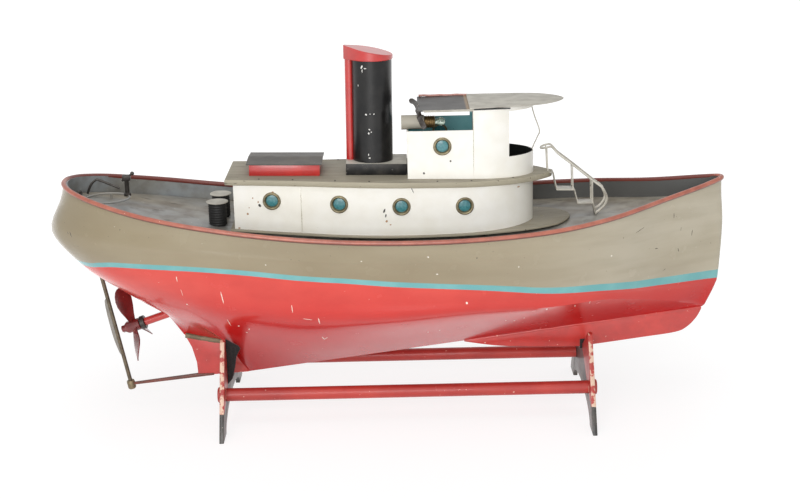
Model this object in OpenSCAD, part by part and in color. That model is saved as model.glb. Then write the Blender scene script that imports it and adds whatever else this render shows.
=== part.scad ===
// Live steam toy tugboat on its display stand.
// Millimetres. X runs forward to the bow, Y to port, Z up from the floor that the stand stands on.
// The boat is drawn where it rests in the stand, midway along its length over X = 0.

/* [Hull] */
// Length of the plating over all
hull_length = 817.8; // [800:0.1:836]
// Greatest width over the plating
hull_beam = 253; // [247:0.5:260]
// Thickness of the sheet metal of the hull
plate_t = 1.6; // [1.2:0.1:2.2]
// Height of the rail above the floor where it is lowest
rail_low = 246.5; // [243:0.5:251]
// Depth of the deck edge below the rail
bulwark_h = 21; // [18:0.5:24]
// Rise of the deck from its edge to the middle
camber = 4; // [2:0.5:6]
// Diameter of the rail tube
rail_d = 6; // [5:0.5:7]
// Thickness of the deck sheet
deck_t = 1.6; // [1:0.1:2.4]
// Thickness of the skeg and of the fore keel plate
keel_t = 3; // [2:0.25:4]

/* [Deckhouse] */
// Thickness of the house walls
wall_t = 2; // [1.5:0.1:3]
// Height of the foot of the walls over the middle of the deck
base_gap = 8; // [6:0.5:10]
// Thickness of the board under the house
board_t = 2.5; // [2:0.1:3]
// Thickness of the wooden roof
roof_t = 7; // [5:0.25:8]
// Height of the top of the roof above the floor, amidships
roof_z = 303; // [298:0.5:308]
// Outer diameter of a porthole rim
port_d = 21.5; // [20:0.5:25]
// Diameter of the glass that shows in a porthole
port_glass_d = 13.8; // [10:0.1:15]
// Diameter of the hole in the wall behind a rim
port_hole_d = 18.6; // [16.5:0.1:19]

/* [Engine hatch] */
// Length of the hatch coaming
hatch_l = 84; // [70:1:90]
// Width of the hatch coaming
hatch_w = 60; // [50:1:64]
// Height of the hatch coaming
hatch_h = 13; // [9:0.5:16]
// Thickness of the sheet lid
lid_t = 1.2; // [0.8:0.1:2]

/* [Funnel] */
// Outer diameter of the funnel
funnel_d = 48; // [44:0.5:50]
// Length of the funnel
funnel_l = 126; // [100:1:140]
// Lean of the funnel towards the bow, in degrees
funnel_lean = 0.6; // [0:0.1:3]
// Outer diameter of the exhaust pipe
exhaust_d = 10.5; // [8:0.5:12]
// Sheet thickness of the funnel, its cap and its pipe
funnel_t = 1.2; // [0.8:0.1:1.8]
// Height of the box under the funnel
funnel_box_h = 14; // [10:0.5:18]
// Height of the funnel cap at its aft end
cap_h = 19; // [14:0.5:24]

/* [Wheelhouse] */
// Half the width of the wheelhouse
wheel_b = 46; // [38:0.5:50]
// Thickness of its sheet walls
wheel_t = 1.4; // [1:0.1:2]
// Height of its aft walls over the house roof
wheel_aft_h = 56.2; // [50:0.1:64]
// Height of its fore walls over the house roof, at their after end
wheel_fore_h = 80.4; // [74:0.1:86]
// Height of its window sill over the house roof
sill_h = 21.8; // [18:0.1:30]
// Thickness of its roof sheets
wheel_roof_t = 1.8; // [1.4:0.1:3]
// Rise of its fore roof towards the bow, in degrees
wheel_rise = 0.95; // [0:0.05:2]
// Diameter of the lamp tube
lamp_d = 17; // [15:0.5:20]

/* [Deck fittings] */
// Diameter of a bollard
bollard_d = 21.8; // [18:0.1:26]
// Height of a bollard with its cap
bollard_h = 29; // [24:0.5:34]
// Width of the stair
stair_w = 20; // [16:0.5:26]
// Diameter of the handrail rod
handrail_d = 2.4; // [1.8:0.1:3]

/* [Propeller and shaft] */
// Diameter of the propeller
prop_d = 104; // [94:1:105]
// Diameter of the propeller shaft
shaft_d = 5; // [4:0.25:6]
// Slope of the shaft, in degrees
shaft_slope = 18.6; // [17.5:0.1:19.5]
// Outer diameter of the stern tube
stern_tube_d = 10; // [8.5:0.25:12]
// Radial running clearance of every shaft and pin
run_gap = 0.05; // [0.02:0.01:0.08]

/* [Engine] */
// Bore of the cylinder
bore_d = 14; // [12:0.5:15]
// Stroke of the piston
stroke = 20; // [16:0.5:22]
// Diameter of the flywheel
flywheel_d = 46; // [38:1:50]

/* [Boiler] */
// Outer diameter of the boiler
boiler_d = 66; // [56:1:70]
// Length of the boiler
boiler_l = 140; // [110:1:150]
// Height of the boiler's centre above the floor
boiler_z = 196; // [190:0.5:202]

/* [Rudder] */
// Chord of the rudder blade
rudder_chord = 34; // [26:0.5:36]
// Height of the rudder blade
rudder_h = 80; // [66:1:84]
// Diameter of the rudder stock
stock_d = 5; // [4:0.25:6]

/* [Stand] */
// Thickness of an end board
end_t = 5.5; // [4:0.25:8]
// Half the spread of the feet
foot_b = 116; // [105:1:120]
// Height of the horns that hold the hull
horn_z = 108; // [98:1:112]
// Diameter of the tie rods
dowel_d = 16; // [12:0.5:18]
// Distance between the tie rods
dowel_gap = 127; // [118:1:132]
// Height of the tie rods above the floor
dowel_z = 42; // [36:1:48]
// Thickness of the felt in the notches
felt_t = 2; // [1:0.25:3]

/* [Hidden] */
$fn = 48;

// The shape was drawn at this length and beam; other sizes stretch it.
drawn_length = 817.8;
drawn_beam = 253;
kx = hull_length / drawn_length;
ky = hull_beam / drawn_beam;
// Stations along the boat move with its length: a list of places with their first number stretched.
function long(p) = [for (v = p) [for (i = [0 : len(v) - 1]) i == 0 ? v[0] * kx : v[i]]];

// Sheer: the rail is a parabola on each side of its lowest place.
low_x = 25;
sheer_aft = 0.0003;
sheer_fore = 0.00027;
function sheer(x) = rail_low + (x / kx < low_x ? sheer_aft : sheer_fore) * pow(x / kx - low_x, 2);
// Height of the deck at its middle, and its top at a distance from the middle.
function deck_mid(x) = sheer(x) - bulwark_h + camber;

// Plan of the rail and of the deck edge: distance from midships, half width.
RAIL_PLAN = [[-389, 0], [-385.5, 20], [-372, 42.5], [-340, 69], [-280, 96], [-200, 111], [-100, 121.5],
  [0, 126], [100, 126], [190, 118.5], [260, 94.5], [325, 53.5], [385, 19.5], [405.6, 0]];
DECK_PLAN = [[-394.5, 0], [-390.5, 22], [-376, 44.5], [-343, 71.5], [-281, 98], [-200, 112], [-100, 121.8],
  [0, 126.2], [100, 125.8], [190, 117.5], [260, 93], [325, 52], [385, 17.5], [406.4, 0]];
// Lines below it, stern to stem: distance from midships, half width, height.
KNUCKLE = [[-408.9, 0, 240], [-402, 25, 240], [-385, 48.5, 240], [-348, 75, 239], [-284, 100, 236],
  [-200, 112.8, 231], [-100, 121.5, 224], [0, 125.5, 218.5], [100, 124.7, 218], [190, 116, 219.5],
  [260, 90.5, 222], [325, 49.5, 224], [387, 14.5, 226], [408.9, 0, 227]];
BOOT_LINE = [[-382, 0, 206], [-377, 27, 207], [-363, 50, 208.5], [-333, 75, 211.5], [-278, 98, 215],
  [-200, 109.5, 212.7], [-100, 118.5, 205], [0, 122.5, 197.5], [100, 121.5, 190], [190, 112.5, 182],
  [260, 87.5, 176.5], [325, 46.5, 169.5], [386, 12, 166], [406, 0, 166]];
SIDE_LOW = [[-353, 0, 182], [-349, 24, 182.5], [-337, 46, 184], [-313, 69, 187], [-268, 88, 189],
  [-200, 99, 183], [-100, 112, 176], [0, 119, 173], [100, 118, 173], [190, 109, 171],
  [260, 85.5, 168], [325, 43.5, 157], [383, 9.5, 148], [402.5, 0, 149]];
CHINE = [[-305, 0, 148], [-302, 17, 149], [-294.5, 36, 151.5], [-280, 52, 154], [-248, 68, 156],
  [-195, 84, 150], [-100, 101, 145.5], [0, 113.5, 149.5], [100, 112.5, 156], [190, 106, 159.5],
  [260, 83.5, 160], [325, 42, 144], [374, 9, 129], [391, 0, 123.5]];
GARBOARD = [[-278, 0, 127.5], [-275.5, 8, 128], [-270, 17, 128], [-258, 25, 126], [-236, 32, 122],
  [-185, 40, 103], [-100, 50, 98], [0, 54, 108], [100, 52, 117], [190, 46, 124],
  [260, 34, 129], [325, 15, 125], [372, 3, 122], [388.5, 0, 121.3]];
// The keel: rising after end, drop to the heel of the hull, then one straight raked line.
keel_aft_z = 99;
keel_step_x = -203;
keel_step_z = 88.6;
keel_low_x = -178;
keel_low_z = 48;
keel_knee_x = -188;
keel_knee_z = 60;
stem_foot_x = 386;
stem_foot_z = 120;
KEEL_X = [-257, -252, -244, -232, -210, -178, -92, 8, 104, 190, 256, 322, 372, 386];
KEEL_LINE = long([[KEEL_X[0], keel_aft_z], [keel_step_x, keel_step_z], [keel_knee_x, keel_knee_z],
  [keel_low_x, keel_low_z], [stem_foot_x, stem_foot_z]]);
function keel_z(x) = lookup(x, KEEL_LINE);

// Smooth curve through control points; past an end it goes on in the mirror image.
function mirrored(v) = [for (i = [0 : len(v) - 1]) i == 1 ? -v[i] : v[i]];
function control(p, k) = let(n = len(p) - 1) k < 0 ? mirrored(p[-k]) : k > n ? mirrored(p[2 * n - k]) : p[k];
function blend(a, b, c, d, f) =
  0.5 * (2 * b + (c - a) * f + (2 * a - 5 * b + 4 * c - d) * f * f + (3 * b - a - 3 * c + d) * f * f * f);
function along(p, t) = let(k = min(floor(t), len(p) - 2))
  blend(control(p, k - 1), control(p, k), control(p, k + 1), control(p, k + 2), t - k);
function stretched(v) = [v[0] * kx, v[1] * ky, v[2]];

spans = len(RAIL_PLAN) - 1;
function rail_at(t) = let(v = along(RAIL_PLAN, t)) [v[0] * kx, max(v[1], 0) * ky, sheer(v[0] * kx)];
function edge_at(t) = let(v = along(DECK_PLAN, t))
  [v[0] * kx, max(v[1], 0) * ky, sheer(v[0] * kx) - bulwark_h];
function keel_at(t) = let(x = along([for (x = KEEL_X) [x, 0]], t)[0] * kx) [x, 0, keel_z(x)];
function lines_at(t) = [rail_at(t), edge_at(t), stretched(along(KNUCKLE, t)), stretched(along(BOOT_LINE, t)),
  stretched(along(SIDE_LOW, t)), stretched(along(CHINE, t)), stretched(along(GARBOARD, t)), keel_at(t)];
chine_row = 5;
keel_row = 7;
// The side is curved from rail to chine and the bottom is flat from chine to keel.
function side_point(q, s) = let(k = min(floor(s), chine_row - 1), f = s - k,
    a = k == 0 ? 2 * q[0] - q[1] : q[k - 1],
    d = k == chine_row - 1 ? 2 * q[chine_row] - q[chine_row - 1] : q[k + 2],
    v = blend(a, q[k], q[k + 1], d, f)) [v[0], max(v[1], 0), v[2]];
function half_section(t) = let(q = lines_at(t), n = chine_row * 2)
  concat([for (m = [0 : n]) side_point(q, m / 2)], [q[6], q[keel_row]]);

steps = 3;
stations = spans * steps;
half_n = chine_row * 2 + 2;
// Sheet metal inside face: drawn in from the ends and sides and up from the bottom.
end_draw = 3 * plate_t;
function inside(p, m) = [p[0] * (1 - 2 * end_draw / hull_length), p[1] * (1 - 2 * plate_t / hull_beam),
  p[2] + 1.2 * plate_t * sin(90 * m / half_n)];
function flip(p) = [p[0], -p[1], p[2]];
function ring(half) = concat([for (m = [0 : half_n]) flip(half[m])],
  [for (m = [half_n - 1 : -1 : 0]) half[m]]);
ring_n = 2 * half_n + 1;

// A thin shell between an outer and an inner skin, each a grid of rings; the end rings have no width.
module skin_shell(outer, inner) {
  n = len(outer);
  pts = concat([for (r = outer) each r], [for (r = inner) each r]);
  function at(i, m) = i * ring_n + (i == 0 || i == n - 1 ? min(m, ring_n - 1 - m) : m);
  inner_at = n * ring_n;
  faces = [for (i = [0 : n - 2]) for (m = [0 : ring_n - 2]) each let(
      a = at(i, m), b = at(i + 1, m), c = at(i + 1, m + 1), d = at(i, m + 1)) concat(
      a == d ? [] : [[a, b, d]], b == c ? [] : [[b, c, d]],
      a == d ? [] : [[inner_at + a, inner_at + d, inner_at + b]],
      b == c ? [] : [[inner_at + b, inner_at + d, inner_at + c]])];
  tops = [for (i = [0 : n - 2]) for (m = [0, ring_n - 1]) let(a = at(i, m), b = at(i + 1, m))
      each m == 0 ? [[a, inner_at + a, b], [b, inner_at + a, inner_at + b]]
                  : [[a, b, inner_at + a], [b, inner_at + b, inner_at + a]]];
  polyhedron(pts, concat(faces, tops), convexity = 8);
}

module hull_shell() {
  outer = [for (i = [0 : stations]) half_section(i / steps)];
  inner = [for (h = outer) [for (m = [0 : half_n]) inside(h[m], m)]];
  color("indianred") difference() {
    skin_shell([for (h = outer) ring(h)], [for (h = inner) ring(h)]);
    on_shaft(stern_tube_s) rotate([0, 90, 0]) cylinder(d = stern_tube_d, h = stern_tube_l);
    on_stock(trunk_low) cylinder(d = trunk_d, h = trunk_top - trunk_low);
  }
}

// Places and frames that several pieces share.
hub_x = -318 * kx;
hub_z = 112;
funnel_x = -15.8 * kx;
pipe_nest = 2.55;
exhaust_x = funnel_x - funnel_d / 2 - exhaust_d / 2 + pipe_nest;
module on_shaft(s) translate([hub_x, 0, hub_z]) rotate([0, -shaft_slope, 0]) translate([s, 0, 0]) children();
function shaft_x(s) = hub_x + s * cos(shaft_slope);
function shaft_z(s) = hub_z + s * sin(shaft_slope);
heel_x = -327.1 * kx;
heel_z = 34.5;
stock_rake = atan(tan(10.65) * kx);
module on_stock(w) translate([heel_x, 0, heel_z]) rotate([0, -stock_rake, 0]) translate([0, 0, w]) children();
function stock_x(z) = heel_x - (z - heel_z) * tan(stock_rake);

// A round rod swept along points, square to each bend, with flat ends.
function unit(v) = v / norm(v);
function tangent(p, i) = unit(p[min(i + 1, len(p) - 1)] - p[max(i - 1, 0)]);
module bent_rod(p, d, sides = 10, side = [0, 1, 0]) {
  n = len(p);
  pts = [for (i = [0 : n - 1]) let(t = tangent(p, i), u = unit(cross(side, t)), w = cross(t, u))
      for (k = [0 : sides - 1]) let(a = 360 * (k + 0.5) / sides) p[i] + d / 2 * (u * cos(a) + w * sin(a))];
  walls = [for (i = [0 : n - 2]) for (k = [0 : sides - 1]) let(l = (k + 1) % sides)
      [i * sides + k, (i + 1) * sides + k, (i + 1) * sides + l, i * sides + l]];
  ends = [[for (k = [0 : sides - 1]) k], [for (k = [sides - 1 : -1 : 0]) (n - 1) * sides + k]];
  polyhedron(pts, concat(walls, ends), convexity = 6);
}
// A plate cut to a side view, given as distance and height.
module side_plate(points, t) rotate([90, 0, 0]) linear_extrude(t, center = true) polygon(points);

// Skeg, keel and hull fittings.
skeg_heel_x = -242 * kx;
skeg_heel_z = 44;
bury = 1.5;
function skeg_bottom(x) = x < keel_low_x * kx
  ? skeg_heel_z + (keel_low_z - skeg_heel_z) * (x - skeg_heel_x) / (keel_low_x * kx - skeg_heel_x)
  : keel_z(x);
module skeg_plate() {
  color("indianred") difference() {
    side_plate(long([[skeg_heel_x / kx, skeg_heel_z], [-243, 62], [-248, 82], [KEEL_X[0], keel_aft_z + bury],
      [keel_step_x, keel_step_z + bury], [keel_knee_x + 2, keel_knee_z - 2 + bury],
      [keel_low_x, keel_low_z + bury], [keel_low_x, keel_low_z]]), keel_t);
    on_shaft(stern_tube_s) rotate([0, 90, 0]) cylinder(d = stern_tube_d, h = stern_tube_l);
  }
}
fore_plate_bottom = long([[92, 81.5], [130, 75.5], [163, 73.4], [231, 72], [251, 74], [312, 82], [355, 88],
  [370, 95], [381, 107], [387, 118.7]]);
module fore_keel_plate() {
  top = [for (x = [stem_foot_x, 310, 283, 200, 92]) [x * kx, keel_z(x * kx) + bury]];
  color("indianred") side_plate(concat(fore_plate_bottom, top), keel_t);
}
// Height of the underside of the keel where the stand holds the boat.
function keel_rest(x) = x < 0 ? skeg_bottom(x) : lookup(x, fore_plate_bottom);

// The rail is one tube bent round the whole boat.
rail_sides = 8;
module rail_tube() {
  half = [for (i = [0 : stations]) rail_at(i / steps)];
  path = concat([for (i = [0 : stations]) flip(half[i])], [for (i = [stations - 1 : -1 : 1]) half[i]]);
  n = len(path);
  pts = [for (i = [0 : n - 1]) let(v = path[(i + 1) % n] - path[(i + n - 1) % n], a = atan2(v[1], v[0]) + 90)
      for (k = [0 : rail_sides - 1]) let(w = 360 * (k + 0.5) / rail_sides, r = rail_d / 2)
        path[i] + [r * cos(w) * cos(a), r * cos(w) * sin(a), r * sin(w)]];
  faces = [for (i = [0 : n - 1]) for (k = [0 : rail_sides - 1]) let(j = (i + 1) % n, l = (k + 1) % rail_sides)
      [i * rail_sides + k, i * rail_sides + l, j * rail_sides + l, j * rail_sides + k]];
  color("salmon") polyhedron(pts, faces, convexity = 6);
}

// Deck sheet with its camber, and the well that the machinery sits in.
well_aft = -172 * kx;
well_fore = 150 * kx;
well_b = 42;
deck_columns = 8;
// The deck is laid in sheets, with a seam at each end of the well and between the lengths.
seam_w = 0.2;
DECK_SEAMS = concat([-290 * kx, -230 * kx], [for (i = [0 : 4]) well_aft + (well_fore - well_aft) * i / 4],
  [230 * kx, 310 * kx]);
function deck_row(t) = let(e = inside(edge_at(t), 0))
  [for (c = [0 : deck_columns]) let(u = 2 * c / deck_columns - 1)
    [e[0], u * e[1], deck_mid(e[0]) - camber * u * u]];
module main_deck() {
  rows = [for (i = [1 : stations - 1]) deck_row(i / steps)];
  w = deck_columns + 1;
  n = len(rows);
  pts = concat([for (r = rows) each r], [for (r = rows) each [for (p = r) p - [0, 0, deck_t]]]);
  low = n * w;
  faces = concat(
    [for (i = [0 : n - 2]) for (c = [0 : w - 2]) each let(a = i * w + c, b = a + 1, d = a + w, e = d + 1)
      [[a, b, e], [a, e, d], [low + a, low + e, low + b], [low + a, low + d, low + e]]],
    [for (i = [0 : n - 2]) each let(a = i * w, b = a + w, c = a + w - 1, d = c + w)
      [[a, b, low + b], [a, low + b, low + a], [c, low + d, d], [c, low + c, low + d]]],
    [for (c = [0 : w - 2]) each let(a = c, b = c + 1, d = (n - 1) * w + c, e = d + 1)
      [[a, low + b, b], [a, low + a, low + b], [d, e, low + e], [d, low + e, low + d]]]);
  color("darkgray") difference() {
    polyhedron(pts, faces, convexity = 4);
    translate([well_aft, -well_b, 150]) cube([well_fore - well_aft, 2 * well_b, 200]);
    for (x = DECK_SEAMS) translate([x - seam_w / 2, -150, 150]) cube([seam_w, 300, 200]);
    on_stock(trunk_low) cylinder(d = trunk_d, h = trunk_top - trunk_low);
  }
}

// Pieces that follow the sheer: a plan shape kept between two side curves.
base_curve = 0.00018;
base_low_x = 40;
function base_z(x) = rail_low - bulwark_h + camber + base_gap + base_curve * pow(x / kx - base_low_x, 2);
roof_slope = 0.0215 / kx;
function roof_top(x) = roof_z - roof_slope * x;
function curve_x(x0, x1, n) = [for (i = [0 : n]) x0 + (x1 - x0) * i / n];
module between(b, low, high) rotate([90, 0, 0]) linear_extrude(2 * b, center = true)
  polygon(concat([for (i = [0 : len(low) - 1]) low[i]], [for (i = [len(high) - 1 : -1 : 0]) high[i]]));
module well_coaming() {
  t = 1.5;
  xs = curve_x(well_aft, well_fore, 12);
  color("gray") intersection() {
    difference() {
      translate([well_aft, -well_b, 150]) cube([well_fore - well_aft, 2 * well_b, 200]);
      translate([well_aft + t, -well_b + t, 140])
        cube([well_fore - well_aft - 2 * t, 2 * well_b - 2 * t, 220]);
    }
    between(well_b + 1, [for (x = xs) [x, deck_mid(x) - 6]],
      [for (x = xs) [x, base_z(x) - board_t - 0.3]]);
  }
}

// Stern tube, gland, rudder trunk and heel shoe.
stern_tube_s = 12;
stern_tube_l = 138 * kx;
module stern_tube() color("indianred") difference() {
  on_shaft(stern_tube_s) rotate([0, 90, 0]) cylinder(d = stern_tube_d, h = stern_tube_l);
  on_shaft(stern_tube_s - 1) rotate([0, 90, 0]) cylinder(d = shaft_d + 2 * run_gap, h = stern_tube_l + 2);
}
gland_d = stern_tube_d + 7;
module stern_gland() color("dimgray") difference() {
  on_shaft(stern_tube_s - 3) rotate([0, 90, 0]) cylinder(d = gland_d, h = 6);
  on_shaft(stern_tube_s) rotate([0, 90, 0]) cylinder(d = stern_tube_d, h = 20);
  on_shaft(stern_tube_s - 5) rotate([0, 90, 0]) cylinder(d = shaft_d + 2 * run_gap, h = 20);
}
trunk_d = stock_d + 3;
trunk_low = (178 - heel_z) / cos(stock_rake);
trunk_top = (deck_mid(stock_x(deck_mid(-372 * kx))) + 2 - heel_z) / cos(stock_rake);
module rudder_trunk() color("indianred") difference() {
  on_stock(trunk_low) cylinder(d = trunk_d, h = trunk_top - trunk_low);
  on_stock(trunk_low - 1) cylinder(d = stock_d + 2 * run_gap, h = trunk_top - trunk_low + 2);
}
shoe_w = 5;
shoe_fore = -222 * kx;
module heel_shoe() color("rosybrown") difference() {
  union() {
    side_plate([[heel_x - 2, heel_z - 1.7], [shoe_fore, skeg_heel_z + 0.2], [shoe_fore, skeg_heel_z + 3.2],
      [skeg_heel_x, skeg_heel_z + 3], [heel_x - 2, heel_z + 2]], shoe_w);
    on_stock(-6) cylinder(d = stock_d + 5, h = 11);
  }
  on_stock(-3.5) cylinder(d = stock_d + 2 * run_gap, h = 20);
  translate([skeg_heel_x - 0.01, -keel_t / 2, skeg_heel_z - 6]) cube([30, keel_t, 20]);
}

// Bollards on the after deck.
bollard_x = -203.9 * kx;
bollard_y = 20;
cap_t = 1.2;
cap_over = 2.35;
function bollard_foot() = deck_mid(bollard_x) - camber * 0.04;
module bollards() color("black") for (s = [-1, 1]) translate([bollard_x, s * bollard_y, bollard_foot()])
  cylinder(d = bollard_d, h = bollard_h - cap_t);
module bollard_caps() color("gray") for (s = [-1, 1])
  translate([bollard_x, s * bollard_y, bollard_foot() + bollard_h - cap_t])
    cylinder(d = bollard_d + 2 * cap_over, h = cap_t);

// Steering gear: hoop that guides the tiller, post with its clamp screw, broken chain.
hoop_x = -339 * kx;
hoop_a = 28;
hoop_b = 26;
hoop_w = 3;
hoop_t = 1.5;
hoop_z = deck_mid(hoop_x) + 5.6;
module ellipse_ring(a, b, t, h) linear_extrude(h) difference() {
  polygon([for (w = [0 : 10 : 350]) [a * cos(w), b * sin(w)]]);
  polygon([for (w = [0 : 10 : 350]) [(a - t) * cos(w), (b - t) * sin(w)]]);
}
module tiller_hoop() color("darkgray") {
  translate([hoop_x, 0, hoop_z]) ellipse_ring(hoop_a, hoop_b, hoop_w, hoop_t);
  for (s = [-1, 1]) translate([hoop_x, s * (hoop_b - hoop_w / 2), deck_mid(hoop_x) - 1])
    cylinder(d = 2.6, h = hoop_z - deck_mid(hoop_x) + hoop_t);
}
post_x = -316.8 * kx;
post_y = (hoop_b - hoop_w / 2) * sqrt(1 - pow((post_x - hoop_x) / (hoop_a - hoop_w / 2), 2));
post_h = 26;
post_top = hoop_z + post_h;
clamp_h = 7;
screw_z = post_top - clamp_h / 2;
screw_d = 2.5;
screw_tilt = 35;
knob_d = 5;
module on_screw(s) translate([post_x, post_y, screw_z]) rotate([0, 90 - screw_tilt, 0])
  translate([0, 0, s]) children();
module tiller_post() color("dimgray") difference() {
  union() {
    translate([post_x, post_y, hoop_z]) cylinder(d = 5.5, h = post_h);
    translate([post_x, post_y, hoop_z]) cylinder(d = 9, h = hoop_t + 2);
    translate([post_x - 5, post_y - 3.5, post_top - clamp_h]) cube([10, 7, clamp_h]);
  }
  on_screw(-20) cylinder(d = screw_d + 2 * run_gap, h = 40);
}
module tiller_screw() color("dimgray") {
  on_screw(-7) cylinder(d = screw_d, h = 14);
  on_screw(9) sphere(d = knob_d);
}
chain_x = -383 * kx;
module chain_link(w) rotate([w, 0, 0]) rotate_extrude($fn = 10) translate([2.2, 0]) circle(d = 0.9, $fn = 5);
link_step = [2.1, -2];
chain_y = -4;
link_up = 2.4;
deck_dip = 45;
module steering_chain() color("silver") for (i = [0 : 8]) let(x = chain_x + link_step[0] * i,
    y = chain_y + link_step[1] * i)
  translate([x, y, deck_mid(x) - camber * pow(y / deck_dip, 2) + link_up])
    rotate([0, 12, atan2(link_step[1], link_step[0])]) chain_link(i % 2 == 0 ? 45 : -45);

// Rudder: drawn as it lies, turned to port.
blade_turn = 66;
blade_low = 36;
blade_sheet = 1.8;
module rudder_stock() color("olivedrab") on_stock(-3) cylinder(d = stock_d, h = tiller_w + 8);
module rudder_blade() color("olivedrab") difference() {
  on_stock(blade_low) rotate([0, 0, -blade_turn]) rotate([90, 0, 0])
    linear_extrude(blade_sheet, center = true) polygon([[0, 0], [-0.6 * rudder_chord, 0.04 * rudder_h],
      [-0.93 * rudder_chord, 0.2 * rudder_h], [-rudder_chord, 0.43 * rudder_h],
      [-0.91 * rudder_chord, 0.7 * rudder_h], [-0.65 * rudder_chord, 0.9 * rudder_h], [0, rudder_h]]);
  on_stock(0) cylinder(d = stock_d, h = 200);
}
tiller_w = trunk_top + 1;
module tiller() color("dimgray") difference() {
  union() {
    on_stock(tiller_w) cylinder(d = stock_d + 4, h = 5);
    bent_rod([[stock_x(heel_z + tiller_w), 0, deck_mid(-372 * kx) + 5],
      [-351.9 * kx, 0, deck_mid(-352 * kx) + 26], [-322.9 * kx, 0, deck_mid(-322 * kx) + 22]], 3);
  }
  on_stock(0) cylinder(d = stock_d, h = tiller_w + 5.01);
}

// Propeller, shaft and flywheel.
module propeller_shaft() color("silver") on_shaft(-4) rotate([0, 90, 0])
  cylinder(d = shaft_d, h = shaft_fore + 4);
hub_d = 15;
module propeller_hub() color("indianred") difference() {
  on_shaft(-8) rotate([0, 90, 0]) {
    cylinder(d = hub_d, h = 16);
    translate([0, 0, -4]) cylinder(d1 = 9, d2 = hub_d, h = 4);
    translate([0, 0, -8]) cylinder(d = 8, h = 5, $fn = 6);
  }
  on_shaft(-4) rotate([0, 90, 0]) cylinder(d = shaft_d, h = 20);
}
blade_count = 3;
blade_pitch = 35;
blade_first = 5;
blade_t = 1.6;
module blade() {
  r = prop_d / 2;
  rotate([0, 0, blade_pitch]) rotate([90, 0, 90]) linear_extrude(blade_t, center = true)
    polygon([[-5, hub_d / 2 - 3], [-9, 0.42 * r], [-13, 0.62 * r], [-13.5, 0.78 * r], [-10, 0.92 * r],
      [-4, r], [4, r], [10, 0.92 * r], [13.5, 0.78 * r], [13, 0.62 * r], [9, 0.42 * r], [5, hub_d / 2 - 3]]);
}
module propeller_blades() color("indianred") difference() {
  on_shaft(0) for (k = [0 : blade_count - 1]) rotate([blade_first + k * 360 / blade_count, 0, 0]) blade();
  on_shaft(-8) rotate([0, 90, 0]) cylinder(d = hub_d, h = 16);
}
plate_s = 185 * kx;
fly_s = plate_s - 19;
fly_w = 9;
module flywheel() color("silver") difference() {
  on_shaft(fly_s) rotate([0, 90, 0]) cylinder(d = flywheel_d, h = fly_w);
  on_shaft(fly_s - 1) rotate([0, 90, 0]) difference() {
    cylinder(d = flywheel_d - 10, h = 3.5);
    cylinder(d = shaft_d + 8, h = 3.5);
  }
  on_shaft(fly_s - 1) rotate([0, 90, 0]) cylinder(d = shaft_d, h = fly_w + 2);
}

// Oscillating engine, drawn on the shaft's own line: X along the shaft, Z up the cylinder.
plate_w = 34;
plate_th = 5;
trunnion_h = 44;
disc_s = plate_s + plate_th + 1;
disc_t = 4;
pin_d = 3;
rod_t = 3;
pin_d_trunnion = 4;
pin_gap = 0.4;
shaft_fore = disc_s + disc_t;
module engine_standard() color("darkolivegreen") difference() {
  on_shaft(plate_s) translate([0, -plate_w / 2, -26]) cube([plate_th, plate_w, 26 + trunnion_h + 14]);
  on_shaft(plate_s - 10) rotate([0, 90, 0]) cylinder(d = shaft_d + 2 * run_gap, h = 30);
  on_shaft(plate_s - 10) translate([0, 0, trunnion_h]) rotate([0, 90, 0])
    cylinder(d = pin_d_trunnion + 2 * run_gap, h = 30);
  for (s = [-1, 1]) on_shaft(plate_s - 10) translate([0, s * 6, trunnion_h + 9]) rotate([0, 90, 0])
    cylinder(d = 2, h = 30);
}
bed_h = -26;
bed_t = 4;
bed_y = 21;
bearer_t = 3;
// Height of the inside of the bottom at a place near the keel.
function floor_z(x, y) = let(gb = lookup(x, [for (g = GARBOARD) [g[0] * kx, g[1] * ky]]),
    gz = lookup(x, [for (g = GARBOARD) [g[0] * kx, g[2]]]))
  keel_z(x) + (gz - keel_z(x)) * abs(y) / gb + plate_t;
module machinery_bearers() color("dimgray") {
  on_shaft(plate_s - 26) translate([0, -24, bed_h - bed_t]) cube([52, 48, bed_t]);
  for (s = [-1, 1]) translate([0, s * bed_y, 0]) side_plate(concat(
    [for (d = [-26, 26]) let(v = on_plate(plate_s + d, 0, bed_h - bed_t + 1)) [v[0], v[2]]],
    [for (d = [22, -12]) let(x = shaft_x(plate_s + d)) [x, floor_z(x, bed_y)]]), bearer_t);
  for (x = [boiler_aft + 22, boiler_aft + boiler_l - 22]) translate([x, 0, 0]) rotate([90, 0, 90])
    linear_extrude(bearer_t) polygon([[-casing_b, casing_low], [casing_b, casing_low],
      [casing_b, floor_z(x, casing_b)], [0, floor_z(x, 0)], [-casing_b, floor_z(x, casing_b)]]);
}
module crank_disc() color("silver") {
  difference() {
    on_shaft(disc_s) rotate([0, 90, 0]) cylinder(d = stroke + 10, h = disc_t);
    on_shaft(disc_s - 1) rotate([0, 90, 0]) cylinder(d = shaft_d, h = disc_t + 2);
  }
  on_shaft(disc_s + disc_t) translate([0, 0, stroke / 2]) rotate([0, 90, 0])
    cylinder(d = pin_d, h = bore_s - rod_t / 2 - pin_gap - disc_s - disc_t);
}
cyl_w = bore_d + 6;
cyl_low = 26;
cyl_h = 40;
cyl_gap = 0.3;
port_face_t = 0.3;
cyl_s = plate_s + plate_th + cyl_gap;
rod_d = 3;
bore_s = cyl_s + port_face_t + cyl_w / 2;
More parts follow.
